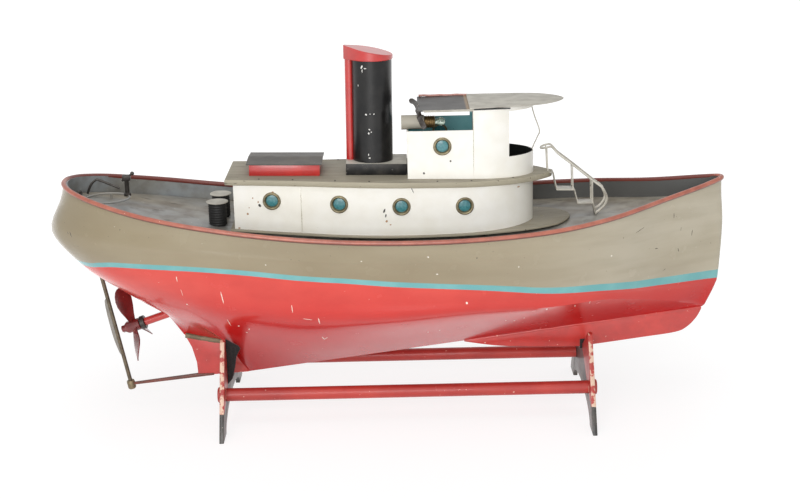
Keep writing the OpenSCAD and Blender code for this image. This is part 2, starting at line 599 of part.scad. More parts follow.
module cylinder_block() color("goldenrod") difference() {
  union() {
    on_shaft(cyl_s) translate([0, -cyl_w / 2, cyl_low]) cube([bore_s - cyl_s, cyl_w, cyl_h]);
    on_shaft(bore_s) translate([0, 0, cyl_low]) cylinder(d = cyl_w, h = cyl_h);
    on_shaft(plate_s - 8) translate([0, 0, trunnion_h]) rotate([0, 90, 0])
      cylinder(d = pin_d_trunnion, h = 16);
  }
  on_shaft(bore_s) translate([0, 0, cyl_low + 3]) cylinder(d = bore_d, h = cyl_h - 6);
  on_shaft(bore_s) translate([0, 0, cyl_low - 1]) cylinder(d = rod_d + 2 * run_gap, h = 10);
}
piston_h = 6;
piston_up = 45;
module piston_rod() color("silver") on_shaft(bore_s) {
  translate([0, 0, stroke / 2 + piston_up]) cylinder(d = bore_d - 2 * run_gap, h = piston_h);
  difference() {
    union() {
      translate([0, 0, stroke / 2 + 2]) cylinder(d = rod_d, h = piston_up - 1);
      translate([-rod_t / 2, 0, stroke / 2]) rotate([0, 90, 0]) cylinder(d = 8, h = rod_t);
    }
    translate([-rod_t, 0, stroke / 2]) rotate([0, 90, 0]) cylinder(d = pin_d + 0.2, h = 3 * rod_t);
  }
}

// Boiler, its casing and uptake, and the spirit burner under it.
boiler_aft = -75 * kx;
end_h = 5;
module along_x(x, z) translate([x, 0, z]) rotate([0, 90, 0]) children();
module boiler_barrel() color("goldenrod") difference() {
  along_x(boiler_aft, boiler_z) cylinder(d = boiler_d, h = boiler_l);
  along_x(boiler_aft - 1, boiler_z) cylinder(d = boiler_d - 3, h = boiler_l + 2);
  translate([valve_x, 0, boiler_z]) cylinder(d = 6, h = boiler_d);
  translate([safety_x, 0, boiler_z]) cylinder(d = 8, h = boiler_d);
}
module boiler_ends() color("goldenrod") for (x = [boiler_aft, boiler_aft + boiler_l - end_h]) difference() {
  along_x(x, boiler_z) cylinder(d = boiler_d - 3, h = end_h);
  along_x(x - 1, boiler_z) cylinder(d = boiler_d - 7, h = 2.5);
}
casing_gap = 5;
casing_t = 1.2;
casing_b = boiler_d / 2 + casing_gap;
casing_low = boiler_z - boiler_d / 2 - 46;
uptake_x = funnel_x - 1;
uptake_d = funnel_d - 12;
module boiler_casing() color("slategray") difference() {
  union() {
    along_x(boiler_aft + 6, boiler_z) cylinder(r = casing_b, h = boiler_l - 12);
    translate([boiler_aft + 6, -casing_b, casing_low])
      cube([boiler_l - 12, 2 * casing_b, boiler_z - casing_low]);
  }
  along_x(boiler_aft + 6 + casing_t, boiler_z)
    cylinder(r = casing_b - casing_t, h = boiler_l - 12 - 2 * casing_t);
  translate([boiler_aft + 6 + casing_t, -casing_b + casing_t, casing_low - 1])
    cube([boiler_l - 12 - 2 * casing_t, 2 * (casing_b - casing_t), boiler_z - casing_low + 1]);
  translate([boiler_aft, -casing_b + casing_t, casing_low - 1])
    cube([boiler_l, 2 * (casing_b - casing_t), boiler_z - boiler_d / 2 - 4 - casing_low + 1]);
  along_x(boiler_aft - 1, boiler_z) cylinder(d = boiler_d, h = boiler_l + 2);
  translate([uptake_x, 0, boiler_z]) cylinder(d = uptake_d, h = 80);
  for (x = [valve_x, safety_x]) translate([x, 0, boiler_z]) cylinder(d = 13, h = 80);
  for (i = [1 : 4]) translate([boiler_aft + 28 * i, 0, casing_low + 34]) rotate([90, 0, 0])
    cylinder(d = 8, h = 200, center = true);
}
uptake_low = boiler_z + boiler_d / 2 + 1;
uptake_top = roof_top(uptake_x) - roof_t + 2;
module uptake() color("slategray") difference() {
  translate([uptake_x, 0, uptake_low]) cylinder(d = uptake_d, h = uptake_top - uptake_low);
  translate([uptake_x, 0, uptake_low - 1])
    cylinder(d = uptake_d - 2 * casing_t, h = uptake_top - uptake_low + 2);
}
tank_z = casing_low + 0.3;
tank_l = 110;
tank_w = 36;
tank_h = 18;
tank_x = boiler_aft + 14;
wick_n = 4;
wick_d = 11;
module burner_tank() color("goldenrod") difference() {
  union() {
    translate([tank_x, -tank_w / 2, tank_z]) cube([tank_l, tank_w, tank_h]);
    for (i = [0 : wick_n - 1]) translate([tank_x + 14 + i * 24, 0, tank_z + tank_h])
      cylinder(d = wick_d + 1.6, h = 8);
  }
  translate([tank_x + 1, -tank_w / 2 + 1, tank_z + 1]) cube([tank_l - 2, tank_w - 2, tank_h - 2]);
  for (i = [0 : wick_n - 1]) translate([tank_x + 14 + i * 24, 0, tank_z + 4]) cylinder(d = wick_d, h = 40);
}
module burner_wicks() color("ivory") for (i = [0 : wick_n - 1])
  translate([tank_x + 14 + i * 24, 0, tank_z + 5]) cylinder(d = wick_d, h = tank_h + 6);

// Steam pipe, stop valve and safety valve.
valve_x = boiler_aft + 17;
safety_x = boiler_aft + 120;
valve_z = boiler_z + boiler_d / 2 - 1.5;
valve_top = valve_z + 16;
spindle_d = 2.5;
module stop_valve() color("goldenrod") difference() {
  union() {
    translate([valve_x, 0, valve_z]) cylinder(d = 6, h = 6);
    translate([valve_x, 0, valve_z + 5]) cylinder(d = 10, h = 11);
    translate([valve_x - 9, 0, valve_z + 10]) rotate([0, 90, 0]) cylinder(d = 6, h = 9);
  }
  translate([valve_x, 0, valve_z + 7]) cylinder(d = spindle_d + 2 * run_gap, h = 20);
}
module valve_wheel() color("firebrick") translate([valve_x, 0, valve_top + 4]) {
  translate([0, 0, -11]) cylinder(d = spindle_d, h = 13);
  cylinder(d = 5, h = 3);
  translate([0, 0, 1.5]) rotate_extrude() translate([8, 0]) circle(d = 2.6, $fn = 16);
  for (w = [0, 60, 120]) rotate([0, 0, w]) translate([-8, -0.8, 0.7]) cube([16, 1.6, 1.6]);
}
module safety_valve() color("goldenrod") translate([safety_x, 0, boiler_z + boiler_d / 2 - 1.5]) {
  cylinder(d = 8, h = 5);
  translate([0, 0, 4]) cylinder(d = 12, h = 6, $fn = 6);
  translate([0, 0, 10]) cylinder(d = 7, h = 8);
  translate([0, 0, 17]) sphere(d = 8);
}
steam_d = 4;
port_s = plate_s - 3;
function on_plate(s, y, h) = [shaft_x(s) - h * sin(shaft_slope), y, shaft_z(s) + h * cos(shaft_slope)];
port_h = trunnion_h + 9;
port_y = 6;
bend_y = 24;
module steam_pipe() color("goldenrod") bent_rod([
  [valve_x - 8.5, 0, valve_z + 10], [valve_x - 16, -3, valve_z + 10],
  [valve_x - 34, -bend_y + 4, valve_z + 11], on_plate(plate_s + 14, -bend_y, port_h + 3),
  on_plate(plate_s - 6, -bend_y, port_h), on_plate(plate_s - 12, -bend_y + 6, port_h),
  on_plate(plate_s - 12, -port_y - 4, port_h), on_plate(plate_s - 7, -port_y, port_h),
  on_plate(plate_s, -port_y, port_h)], steam_d);
riser_top = roof_z - 10;
module exhaust_riser() color("goldenrod") bent_rod([
  on_plate(plate_s, port_y, port_h), on_plate(plate_s - 7, port_y, port_h),
  on_plate(plate_s - 12, port_y + 4, port_h), on_plate(plate_s - 12, bend_y - 6, port_h),
  on_plate(plate_s - 6, bend_y, port_h), on_plate(plate_s + 14, bend_y, port_h + 3),
  [exhaust_x - 34, bend_y - 2, riser_top - 31], [exhaust_x - 12, 10, riser_top - 23],
  [exhaust_x - 2, 1, riser_top - 18], [exhaust_x, 0, riser_top - 11], [exhaust_x, 0, riser_top]], steam_d);

// Deckhouse.
HOUSE_PLAN = long([[-181, 46], [-140, 49.5], [-100, 52.5], [-50, 58], [0, 61], [60, 60], [100, 57], [129, 50],
  [153, 37], [170, 19], [177, 0]]);
ROOF_PLAN = long([[-190.5, 50], [-150, 52], [-100, 56], [-50, 62], [0, 65.5], [60, 64], [100, 61], [124, 55],
  [149, 46], [172, 32], [189, 17], [200, 0]]);
BOARD_PLAN = long([[-186, 50], [-140, 53], [-100, 56.5], [-50, 62], [0, 65], [60, 64], [100, 62], [140, 57],
  [180, 48], [208, 32], [222, 0]]);
function plan_poly(p, d = 0) = let(n = 4, m = len(p) - 1,
    fine = [for (k = [0 : m - 1]) for (i = [0 : n - 1]) let(f = i / n,
      a = k == 0 ? 2 * p[0] - p[1] : p[k - 1], e = k + 2 > m ? [p[m - 1][0], -p[m - 1][1]] : p[k + 2])
      blend(a, p[k], p[k + 1], e, f)])
  concat([for (v = fine) [v[0], -v[1] + d]], [[p[m][0] - d, 0]],
    [for (i = [len(fine) - 1 : -1 : 0]) [fine[i][0], fine[i][1] - d]]);
module house_plan(p, d = 0) intersection() {
  polygon(plan_poly(p, d));
  translate([p[0][0] + d, -200]) square([600, 400]);
}
board_hole_b = well_b - 4;
BOARD_XS = curve_x(-190 * kx, 226 * kx, 16);
board_eye_x = 188 * kx;
module base_board() {
  color("darkgray") difference() {
    intersection() {
      translate([0, 0, 200]) linear_extrude(80) house_plan(BOARD_PLAN);
      between(90, [for (x = BOARD_XS) [x, base_z(x) - board_t]], [for (x = BOARD_XS) [x, base_z(x)]]);
    }
    translate([well_aft + 4, -board_hole_b, 190]) cube([well_fore - well_aft - 8, 2 * board_hole_b, 90]);
    translate([board_eye_x, 0, 190]) cylinder(d = 4, h = 90);
  }
}

// Portholes: distance along the house and height over the foot of the wall.
PORTS = long([[-135.7, 37], [-56, 37], [17.3, 35], [91.8, 33]]);
wheel_port = [66.6 * kx, 37.6];
function house_b(x) = lookup(x, HOUSE_PLAN);
function house_turn(x) = atan2(house_b(x + 8) - house_b(x - 8), 16);
module on_ports() for (p = PORTS) for (s = [-1, 1])
  translate([p[0], s * house_b(p[0]), base_z(p[0]) + p[1]]) rotate([0, 0, s * house_turn(p[0])])
    rotate([s < 0 ? 90 : -90, 0, 0]) children();
module on_wheel_ports() for (s = [-1, 1]) translate([wheel_port[0], s * wheel_b, roof_z + wheel_port[1]])
  rotate([s < 0 ? 90 : -90, 0, 0]) children();
module port_hole() translate([0, 0, -10]) cylinder(d = port_hole_d, h = 20);
module port_rim() rotate_extrude() polygon([[port_glass_d / 2, -wall_t - 1], [port_hole_d / 2, -wall_t - 1],
  [port_hole_d / 2, 0], [port_d / 2, 0], [port_d / 2, 0.8], [port_d / 2 - 1.8, 2.4],
  [port_glass_d / 2 + 1, 1.6],
  [port_glass_d / 2, 0.6]]);
module house_walls() {
  color("white") difference() {
    intersection() {
      translate([0, 0, 200]) linear_extrude(130) difference() {
        house_plan(HOUSE_PLAN);
        house_plan(HOUSE_PLAN, wall_t);
      }
      between(90, [for (x = BOARD_XS) [x, base_z(x)]], [for (x = BOARD_XS) [x, roof_top(x) - roof_t]]);
    }
    on_ports() port_hole();
  }
}
module porthole_rims() color("darkkhaki") {
  on_ports() port_rim();
  on_wheel_ports() port_rim();
}
module porthole_glass() color("teal") {
  on_ports() translate([0, 0, -wall_t - 1]) cylinder(d = port_glass_d, h = 1.6);
  on_wheel_ports() translate([0, 0, -wall_t - 1]) cylinder(d = port_glass_d, h = 1.6);
}

// Roof with its openings.
hatch_x = -163 * kx;
hatch_rim = 1.4;
ROOF_XS = [-200 * kx, 205 * kx];
cabin_hole_aft = 40 * kx;
cabin_hole_fore = 140 * kx;
module house_roof() color("darkgray") difference() {
  intersection() {
    translate([0, 0, 250]) linear_extrude(90) house_plan(ROOF_PLAN);
    between(90, [for (x = ROOF_XS) [x, roof_top(x) - roof_t]], [for (x = ROOF_XS) [x, roof_top(x)]]);
  }
  translate([hatch_x + 6, -hatch_w / 2 + 6, 250]) cube([hatch_l - 12, hatch_w - 12, 90]);
  translate([funnel_x, 0, 250]) cylinder(d = funnel_d - 4, h = 90);
  translate([exhaust_x, 0, 250]) cylinder(d = exhaust_d - 2, h = 90);
  translate([cabin_hole_aft, -26, 250]) cube([cabin_hole_fore - cabin_hole_aft, 52, 90]);
}
module tilted_box(x, l, w, h, drop = 0) translate([x, 0, roof_top(x)]) rotate([0, atan(roof_slope), 0])
  translate([0, -w / 2, -drop]) cube([l, w, h + drop]);
module hatch_coaming() color("firebrick") difference() {
  tilted_box(hatch_x, hatch_l, hatch_w, hatch_h);
  tilted_box(hatch_x + hatch_rim, hatch_l - 2 * hatch_rim, hatch_w - 2 * hatch_rim, hatch_h + 5, 5);
}
lid_over = 3;
lid_crown = 2.5;
module hatch_lid() color("dimgray") translate([hatch_x - lid_over, 0, roof_top(hatch_x) + hatch_h + 0.3])
  rotate([0, atan(roof_slope), 0]) rotate([90, 0, 90]) linear_extrude(hatch_l + 2 * lid_over)
    polygon([[-hatch_w / 2 - lid_over, 0], [hatch_w / 2 + lid_over, 0], [hatch_w / 2 + lid_over, lid_t],
      [0, lid_t + lid_crown], [-hatch_w / 2 - lid_over, lid_t]]);

// Funnel, exhaust pipe, their cap and the box they stand on.
box_x = -48 * kx;
wheel_x = 25.5 * kx;
box_l = wheel_x - box_x - 0.8;
box_w = 54;
module leaning(x, drop = 0) translate([x, 0, box_top - 0.6]) rotate([0, funnel_lean, 0])
  translate([0, 0, -drop]) children();
box_top = roof_top(box_x) + funnel_box_h - 0.8;
module funnel_box() color("black") difference() {
  tilted_box(box_x, box_l, box_w, funnel_box_h);
  tilted_box(box_x + 1.5, box_l - 3, box_w - 3, funnel_box_h - 1.5, 1);
  translate([funnel_x, 0, 250]) cylinder(d = funnel_d - 4, h = 100);
  translate([exhaust_x, 0, 250]) cylinder(d = exhaust_d - 2, h = 100);
}
module funnel() color("black") difference() {
  leaning(funnel_x) cylinder(d = funnel_d, h = funnel_l);
  leaning(funnel_x, 5) cylinder(d = funnel_d - 2 * funnel_t, h = funnel_l + 10);
  tilted_box(box_x - 10, box_l + 20, box_w + 20, funnel_box_h, 20);
}
module exhaust_pipe() color("firebrick") difference() {
  leaning(exhaust_x) cylinder(d = exhaust_d, h = funnel_l - 2);
  leaning(exhaust_x, 5) cylinder(d = exhaust_d - 2 * funnel_t, h = funnel_l + 10);
  leaning(funnel_x, 5) cylinder(d = funnel_d, h = funnel_l + 10);
  tilted_box(box_x - 10, box_l + 20, box_w + 20, funnel_box_h, 20);
}
cap_low = funnel_l - 4;
cap_gap = 0.2;
module cap_outline(d) {
  big = funnel_d / 2 + d;
  small = exhaust_d / 2 + d;
  gap = funnel_x - exhaust_x;
  w = acos((big - small) / gap);
  circle(r = big);
  translate([-gap, 0]) circle(r = small);
  polygon([[-big * cos(w), big * sin(w)], [-gap - small * cos(w), small * sin(w)],
    [-gap - small * cos(w), -small * sin(w)], [-big * cos(w), -big * sin(w)]]);
}
module funnel_cap() color("firebrick") leaning(funnel_x) intersection() {
  difference() {
    translate([0, 0, cap_low]) linear_extrude(40) cap_outline(cap_gap + funnel_t);
    translate([0, 0, cap_low - 1]) linear_extrude(5) cap_outline(cap_gap);
  }
  rotate([90, 0, 0]) linear_extrude(90, center = true) polygon([[-45, cap_low], [35, cap_low],
    [35, cap_low + 2], [26, cap_low + 5], [-45, cap_low + cap_h]]);
}

// Wheelhouse: low walls aft with an open band over them, full walls forward with a window round the front.
wheel_mid = 103.4 * kx;
wheel_round = 106.5 * kx;
wheel_fore = 177.5 * kx;
sill_x = 145.5 * kx;
header_h = 5;
wheel_roof_z = roof_z + wheel_fore_h;
header_low = wheel_roof_z + (sill_x - wheel_mid) * tan(wheel_rise) - header_h;
module under_roof() translate([wheel_mid, 0, wheel_roof_z]) rotate([0, -wheel_rise, 0])
  translate([-wheel_mid, 0, 0]) children();
function wheel_plan(d) = let(b = wheel_b - d) concat([[wheel_x + d, -b], [wheel_round, -b]],
  [for (w = [-80 : 10 : 80]) [wheel_round + (wheel_fore - wheel_round - d) * cos(w), b * sin(w)]],
  [[wheel_round, b], [wheel_x + d, b]]);
module wheelhouse_walls() color("white") difference() {
  translate([0, 0, roof_z - 20]) linear_extrude(30 + wheel_fore_h) difference() {
    polygon(wheel_plan(0));
    polygon(wheel_plan(wheel_t));
  }
  translate([wheel_x - 10, -60, roof_z + wheel_aft_h]) cube([wheel_mid - wheel_x + 10, 120, 60]);
  under_roof() translate([wheel_mid - 30, -60, 0]) cube([wheel_fore - wheel_mid + 60, 120, 30]);
  translate([sill_x, -60, roof_z + sill_h]) cube([60, 120, header_low - roof_z - sill_h]);
  tilted_box(0, 220 * kx, 140, 0, 60);
  on_wheel_ports() port_hole();
  along_lamp(lamp_aft) cylinder(d = lamp_d, h = lamp_l);
}
WHEEL_ROOF = long([[99, 46.5], [125, 44.5], [150, 42], [172, 38.5], [190, 31.5], [203, 20.5], [210.5, 9.5],
  [213.3, 0]]);
canopy_x = 39 * kx;
canopy_t = 1.4;
canopy_up = 0.7;
canopy_low = wheel_roof_z + canopy_up - canopy_t;
stay = [for (v = [[-2.5, wheel_fore_h + 1.5], [-1.9, wheel_fore_h - 6], [1.5, 62], [7.3, 45], [5, 37.5],
    [-0.7, sill_h - 2]]) [wheel_fore + v[0], 0, roof_z + v[1]]];
flap_y = -41.5;
flap_t = 2;
flap_drop = wheel_fore_h - wheel_aft_h - 2;
module wheelhouse_roof() color("gray") {
  under_roof() linear_extrude(wheel_roof_t) house_plan(WHEEL_ROOF);
  translate([canopy_x, -wheel_b - 0.5, canopy_low]) cube([wheel_mid - canopy_x, 2 * wheel_b + 1, canopy_t]);
  translate([canopy_x, flap_y, canopy_low + 1]) rotate([90, 0, 0]) linear_extrude(flap_t) polygon([[2, 0],
    [-4.5, 0], [-9, -3.5], [-7, -6], [-3, -5], [-0.5, -9], [3.5, -flap_drop], [7.5, -flap_drop], [4, -8]]);
  bent_rod(stay, 1.6);
}
lamp_y = -30;
lamp_sink = 0.6;
lamp_z = roof_z + wheel_aft_h + lamp_d / 2 - lamp_sink;
lamp_aft = wheel_x - 6.5;
lamp_l = 27;
socket_l = 13;
bulb_d = 10;
module lamp_tube() color("darkgray") {
  difference() {
    along_lamp(lamp_aft) cylinder(d = lamp_d, h = lamp_l);
    along_lamp(lamp_aft - 1) cylinder(d = lamp_d - 2, h = lamp_l - 2);
  }
  along_lamp(lamp_aft + lamp_l) cylinder(d = lamp_d - 2, h = socket_l);
}
module lamp_bulb() color("lightyellow") {
  along_lamp(lamp_aft + lamp_l + socket_l) cylinder(d = bulb_d - 3, h = 5);
  along_lamp(lamp_aft + lamp_l + socket_l + 7) sphere(d = bulb_d);
}
module along_lamp(x) translate([x, lamp_y, lamp_z]) rotate([0, 90, 0]) children();

// Stair from the house roof to the fore deck, with its two handrails.
stair_top = roof_top(196 * kx) - 1;
stair_foot = deck_mid(252 * kx);
high_step = roof_z - 27;
low_step = stair_foot + 15;
STEPS = long([[196, stair_top - 0.2], [201, stair_top - 0.8], [205.4, high_step], [226.7, high_step - 0.6],
  [231, low_step + 0.4], [249.5, low_step], [252.5, stair_foot + 0.8]]);
stair_t = 1.2;
rail_y = 8;
// A strip of sheet folded along a side view, with mitred folds.
function mitre(p, i, t) = let(n = len(p) - 1, k = max(i, 1), m = min(i, n - 1),
    a = unit(p[k] - p[k - 1]), b = unit(p[m + 1] - p[m]), v = unit([-a[1] - b[1], a[0] + b[0]]))
  p[i] + v * t / (v * [-a[1], a[0]]);
module folded_strip(p, t, w) rotate([90, 0, 0]) linear_extrude(w, center = true)
  polygon(concat([for (i = [0 : len(p) - 1]) mitre(p, i, t / 2)],
    [for (i = [len(p) - 1 : -1 : 0]) mitre(p, i, -t / 2)]));
module stair() color("whitesmoke") folded_strip(STEPS, stair_t, stair_w);
// One handrail from its top on the roof to its foot on the deck, at a distance to one side.
function hand_line(y) = long([[187, y / 2, roof_z + 23], [192, y, roof_z + 25], [199, y, roof_z + 25.5],
  [207, y, roof_z + 17], [224, y, roof_z + 3.5], [249, y, roof_z - 17], [261, y, roof_z - 27],
  [266, y, stair_foot + 20.6], [262, y, stair_foot + 10.6], [252.3, y, stair_foot + 2.5]]);
module handrails() color("whitesmoke") {
  for (y = [-rail_y, rail_y]) {
    bent_rod(hand_line(y), handrail_d);
    bent_rod(long([[193, y, roof_z + 25], [194.5, y, stair_top + 1.1]]), 1.4, 8);
    bent_rod(long([[224, y, roof_z + 3.5], [225, y, high_step]]), 1.4, 8);
    bent_rod(long([[248, y, roof_z - 16], [248.8, y, low_step + 0.6]]), 2, 8);
  }
  bent_rod(long([[188, -5.2, roof_z + 23.4], [186.6, -3, roof_z + 22.8], [186, 0, roof_z + 22.6],
    [186.6, 3, roof_z + 22.8], [188, 5.2, roof_z + 23.4]]), handrail_d, 10, [0, 0, 1]);
}

// Stand: two end boards with a notch for the hull, tied by two rods.
aft_end_x = -203 * kx;
fore_end_x = 242 * kx;
notch_b = 50;
horn_w = 7;
arch_b = 84;
arch_z = 24;
notch_gap = 0.4;
felt_l = end_t + 6;
// Lowest part of the keel over the length of the felt.
function felt_top(x) = min(keel_rest(x - felt_l / 2), keel_rest(x + felt_l / 2)) - notch_gap;
module end_board(x) {
  low = felt_top(x) - felt_t;
  side = [[foot_b, 0], [foot_b - 6, 12], [notch_b + horn_w + 3, horn_z - 8], [notch_b + horn_w, horn_z - 1],
    [notch_b + 2, horn_z + 1], [notch_b - 2, horn_z - 3], [keel_t / 2 + felt_t + notch_gap, low + 6],
    [keel_t / 2 + felt_t + notch_gap, low]];
  n = len(side) - 1;
  arch = [for (w = [0 : 15 : 180]) [-arch_b * cos(w), arch_z * sin(w)]];
  translate([x, 0, 0]) rotate([90, 0, 90]) linear_extrude(end_t, center = true)
    polygon(concat(side, [for (i = [n : -1 : 0]) [-side[i][0], side[i][1]]], arch));
}
module rod_holes(x) for (s = [-1, 1]) translate([x - 20, s * dowel_gap / 2, dowel_z]) rotate([0, 90, 0])
  cylinder(d = dowel_d, h = 40);
module stand_ends() color("firebrick") for (x = [aft_end_x, fore_end_x]) difference() {
  end_board(x);
  rod_holes(x);
}
module tie_rods() color("firebrick") for (s = [-1, 1])
  translate([aft_end_x - end_t / 2, s * dowel_gap / 2, dowel_z]) rotate([0, 90, 0])
    cylinder(d = dowel_d, h = fore_end_x - aft_end_x + end_t);
button_t = 5;
module tie_rod_buttons() color("firebrick") for (s = [-1, 1])
  for (x = [aft_end_x - end_t / 2 - button_t, fore_end_x + end_t / 2])
    translate([x, s * dowel_gap / 2, dowel_z]) rotate([0, 90, 0]) cylinder(d = dowel_d + 3, h = button_t);
module notch_felt() color("black") for (x = [aft_end_x, fore_end_x]) {
  low = felt_top(x) - felt_t;
  w = keel_t / 2 + felt_t + notch_gap;
  translate([x, 0, 0]) rotate([90, 0, 90]) linear_extrude(felt_l, center = true) {
    polygon([[-w, low], [w, low], [w, low + 12], [w - felt_t, low + 12], [w - felt_t, low + felt_t],
      [-w + felt_t, low + felt_t], [-w + felt_t, low + 12], [-w, low + 12]]);
  }
}

stand_ends();
tie_rods();
tie_rod_buttons();
notch_felt();
hull_shell();
skeg_plate();
fore_keel_plate();
rail_tube();
main_deck();
well_coaming();
stern_tube();
stern_gland();
rudder_trunk();
heel_shoe();
bollards();
bollard_caps();
tiller_hoop();
tiller_post();
steering_chain();
tiller_screw();
rudder_stock();
rudder_blade();
tiller();
propeller_shaft();
propeller_hub();
propeller_blades();
flywheel();
crank_disc();
machinery_bearers();
engine_standard();
cylinder_block();  // cylinder
piston_rod();
exhaust_riser();
boiler_barrel();
boiler_ends();
boiler_casing();
uptake();
burner_tank();
burner_wicks();
steam_pipe();
stop_valve();
valve_wheel();
safety_valve();
base_board();
house_walls();
house_roof();
porthole_rims();
porthole_glass();
hatch_coaming();
hatch_lid();
funnel_box();
funnel();
exhaust_pipe();
funnel_cap();
wheelhouse_walls();
wheelhouse_roof();
lamp_tube();
lamp_bulb();
stair();
handrails();
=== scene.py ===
# %% [markdown]
# # A live steam toy tugboat on its stand
#
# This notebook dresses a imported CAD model. The real boat is soldered sheet metal with hand-brushed
# enamel, a wooden house roof and a wooden stand, about 82 cm long. Each step first says what the real
# piece is and then how it is made. Every object is in metres, with the bow along +X and port along +Y,
# and lengths written in the cells are millimetres, times MM.

# %% Blender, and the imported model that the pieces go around
import math
import random

import bmesh
import bpy
from mathutils import Matrix, Vector


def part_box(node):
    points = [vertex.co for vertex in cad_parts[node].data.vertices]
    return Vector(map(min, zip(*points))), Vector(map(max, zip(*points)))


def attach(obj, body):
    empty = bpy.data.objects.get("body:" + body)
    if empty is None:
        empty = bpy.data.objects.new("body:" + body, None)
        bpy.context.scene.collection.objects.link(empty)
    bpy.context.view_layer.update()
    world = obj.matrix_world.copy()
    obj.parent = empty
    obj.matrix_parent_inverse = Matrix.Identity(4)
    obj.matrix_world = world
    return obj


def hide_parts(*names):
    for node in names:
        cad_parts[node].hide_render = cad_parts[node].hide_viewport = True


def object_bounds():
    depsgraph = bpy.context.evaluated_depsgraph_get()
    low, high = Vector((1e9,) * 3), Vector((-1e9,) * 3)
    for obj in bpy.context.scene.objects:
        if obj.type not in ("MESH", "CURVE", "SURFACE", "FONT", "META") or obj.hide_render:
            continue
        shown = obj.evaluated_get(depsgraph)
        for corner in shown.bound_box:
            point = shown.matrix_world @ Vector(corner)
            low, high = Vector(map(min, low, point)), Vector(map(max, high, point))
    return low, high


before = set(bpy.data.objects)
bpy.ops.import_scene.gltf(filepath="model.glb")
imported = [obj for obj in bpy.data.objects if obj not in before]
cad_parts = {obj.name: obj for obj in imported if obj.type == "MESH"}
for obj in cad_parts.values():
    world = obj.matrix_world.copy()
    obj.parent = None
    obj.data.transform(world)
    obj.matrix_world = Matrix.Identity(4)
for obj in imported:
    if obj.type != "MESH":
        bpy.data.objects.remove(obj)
cad_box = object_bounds()
MM = 0.001

# %% [markdown]
# ## Camera
#
# The photograph was taken from a little above, square to the starboard side. Its place was worked out
# from the stand and the hull, so the numbers here are a real viewpoint in metres.

# %% Camera at the photograph's viewpoint
CAMERA_AT = (0.0144, -1.7664, 0.7178)
LOOK_DOWN = 16.26
CAMERA_ROLL = -1.26
lens = bpy.data.cameras.new("photo_camera")
lens.sensor_fit = "HORIZONTAL"
lens.sensor_width = 36.0
lens.lens = 67.5
camera = bpy.data.objects.new("photo_camera", lens)
bpy.context.scene.collection.objects.link(camera)
camera.matrix_world = (
    Matrix.Translation(CAMERA_AT)
    @ Matrix.Rotation(math.radians(90 - LOOK_DOWN), 4, "X")
    @ Matrix.Rotation(math.radians(CAMERA_ROLL), 4, "Z")
)
bpy.context.scene.camera = camera

# %% [markdown]
# ## Light and floor
#
# A plain white studio: an even white world, a large softbox overhead and a stronger one in front.
# The floor is white paper that keeps a soft shadow. Is Camera Ray and Is Glossy Ray let the paper show
# as white to the eye and in reflections without lighting the boat more. The paper itself is made
# after the finish steps, because they build it.

# %% White world and two softboxes
bpy.context.scene.view_settings.view_transform = "Standard"
world = bpy.data.worlds.new("white_studio")
bpy.context.scene.world = world
world.use_nodes = True
WORLD_LIGHT = 0.43


def see_white(tree, dim, bright):
    """A strength that is bright to the camera, in reflections and through glass, and dim otherwise."""
    rays = tree.nodes.new("ShaderNodeLightPath").outputs
    seen = rays["Is Camera Ray"]
    for label in ("Is Transmission Ray", "Is Glossy Ray"):
        either = tree.nodes.new("ShaderNodeMath")
        either.operation = "MAXIMUM"
        tree.links.new(seen, either.inputs[0])
        tree.links.new(rays[label], either.inputs[1])
        seen = either.outputs[0]
    strength = tree.nodes.new("ShaderNodeMapRange")
    strength.inputs["To Min"].default_value = dim
    strength.inputs["To Max"].default_value = bright
    tree.links.new(seen, strength.inputs["Value"])
    return strength.outputs["Result"]


backdrop = world.node_tree.nodes["Background"]
backdrop.inputs["Color"].default_value = (1, 1, 1, 1)
world.node_tree.links.new(see_white(world.node_tree, WORLD_LIGHT, 1.0), backdrop.inputs["Strength"])


def softbox(name, place, aim, size, watts):
    """A square area lamp at a place, turned to face a point."""
    lamp = bpy.data.lights.new(name, "AREA")
    lamp.size = size
    lamp.energy = watts
    box = bpy.data.objects.new(name, lamp)
    bpy.context.scene.collection.objects.link(box)
    turn = (Vector(aim) - Vector(place)).to_track_quat("-Z", "Y")
    box.matrix_world = Matrix.Translation(place) @ turn.to_matrix().to_4x4()


softbox("overhead_softbox", (-0.15, -0.6, 2.0), (0, 0, 0.2), 1.5, 9)
softbox("front_softbox", (-0.4, -2.55, 0.9), (0, 0, 0.2), 1.3, 35)

# %% [markdown]
# ## Finishes, and the paper floor
#
# Everything is old brush enamel, bare metal or wood. A finish is a chain of small steps: an even colour,
# slow mottling, dirt, flecks and chips. Each step is a noise read at a place on the object, so a finish
# stays on its piece when it moves. The helpers below each add one step to a material's tree.


# %% Small steps of a finish
def srgb(red, green, blue):
    """A colour by its screen values, 0 to 255, as the shader wants it."""
    parts = [v / 255 for v in (red, green, blue)]
    return tuple(v / 12.92 if v <= 0.04045 else ((v + 0.055) / 1.055) ** 2.4 for v in parts) + (1.0,)


RAGGED = 1.2
NEAR_SIDE_Y = -0.004


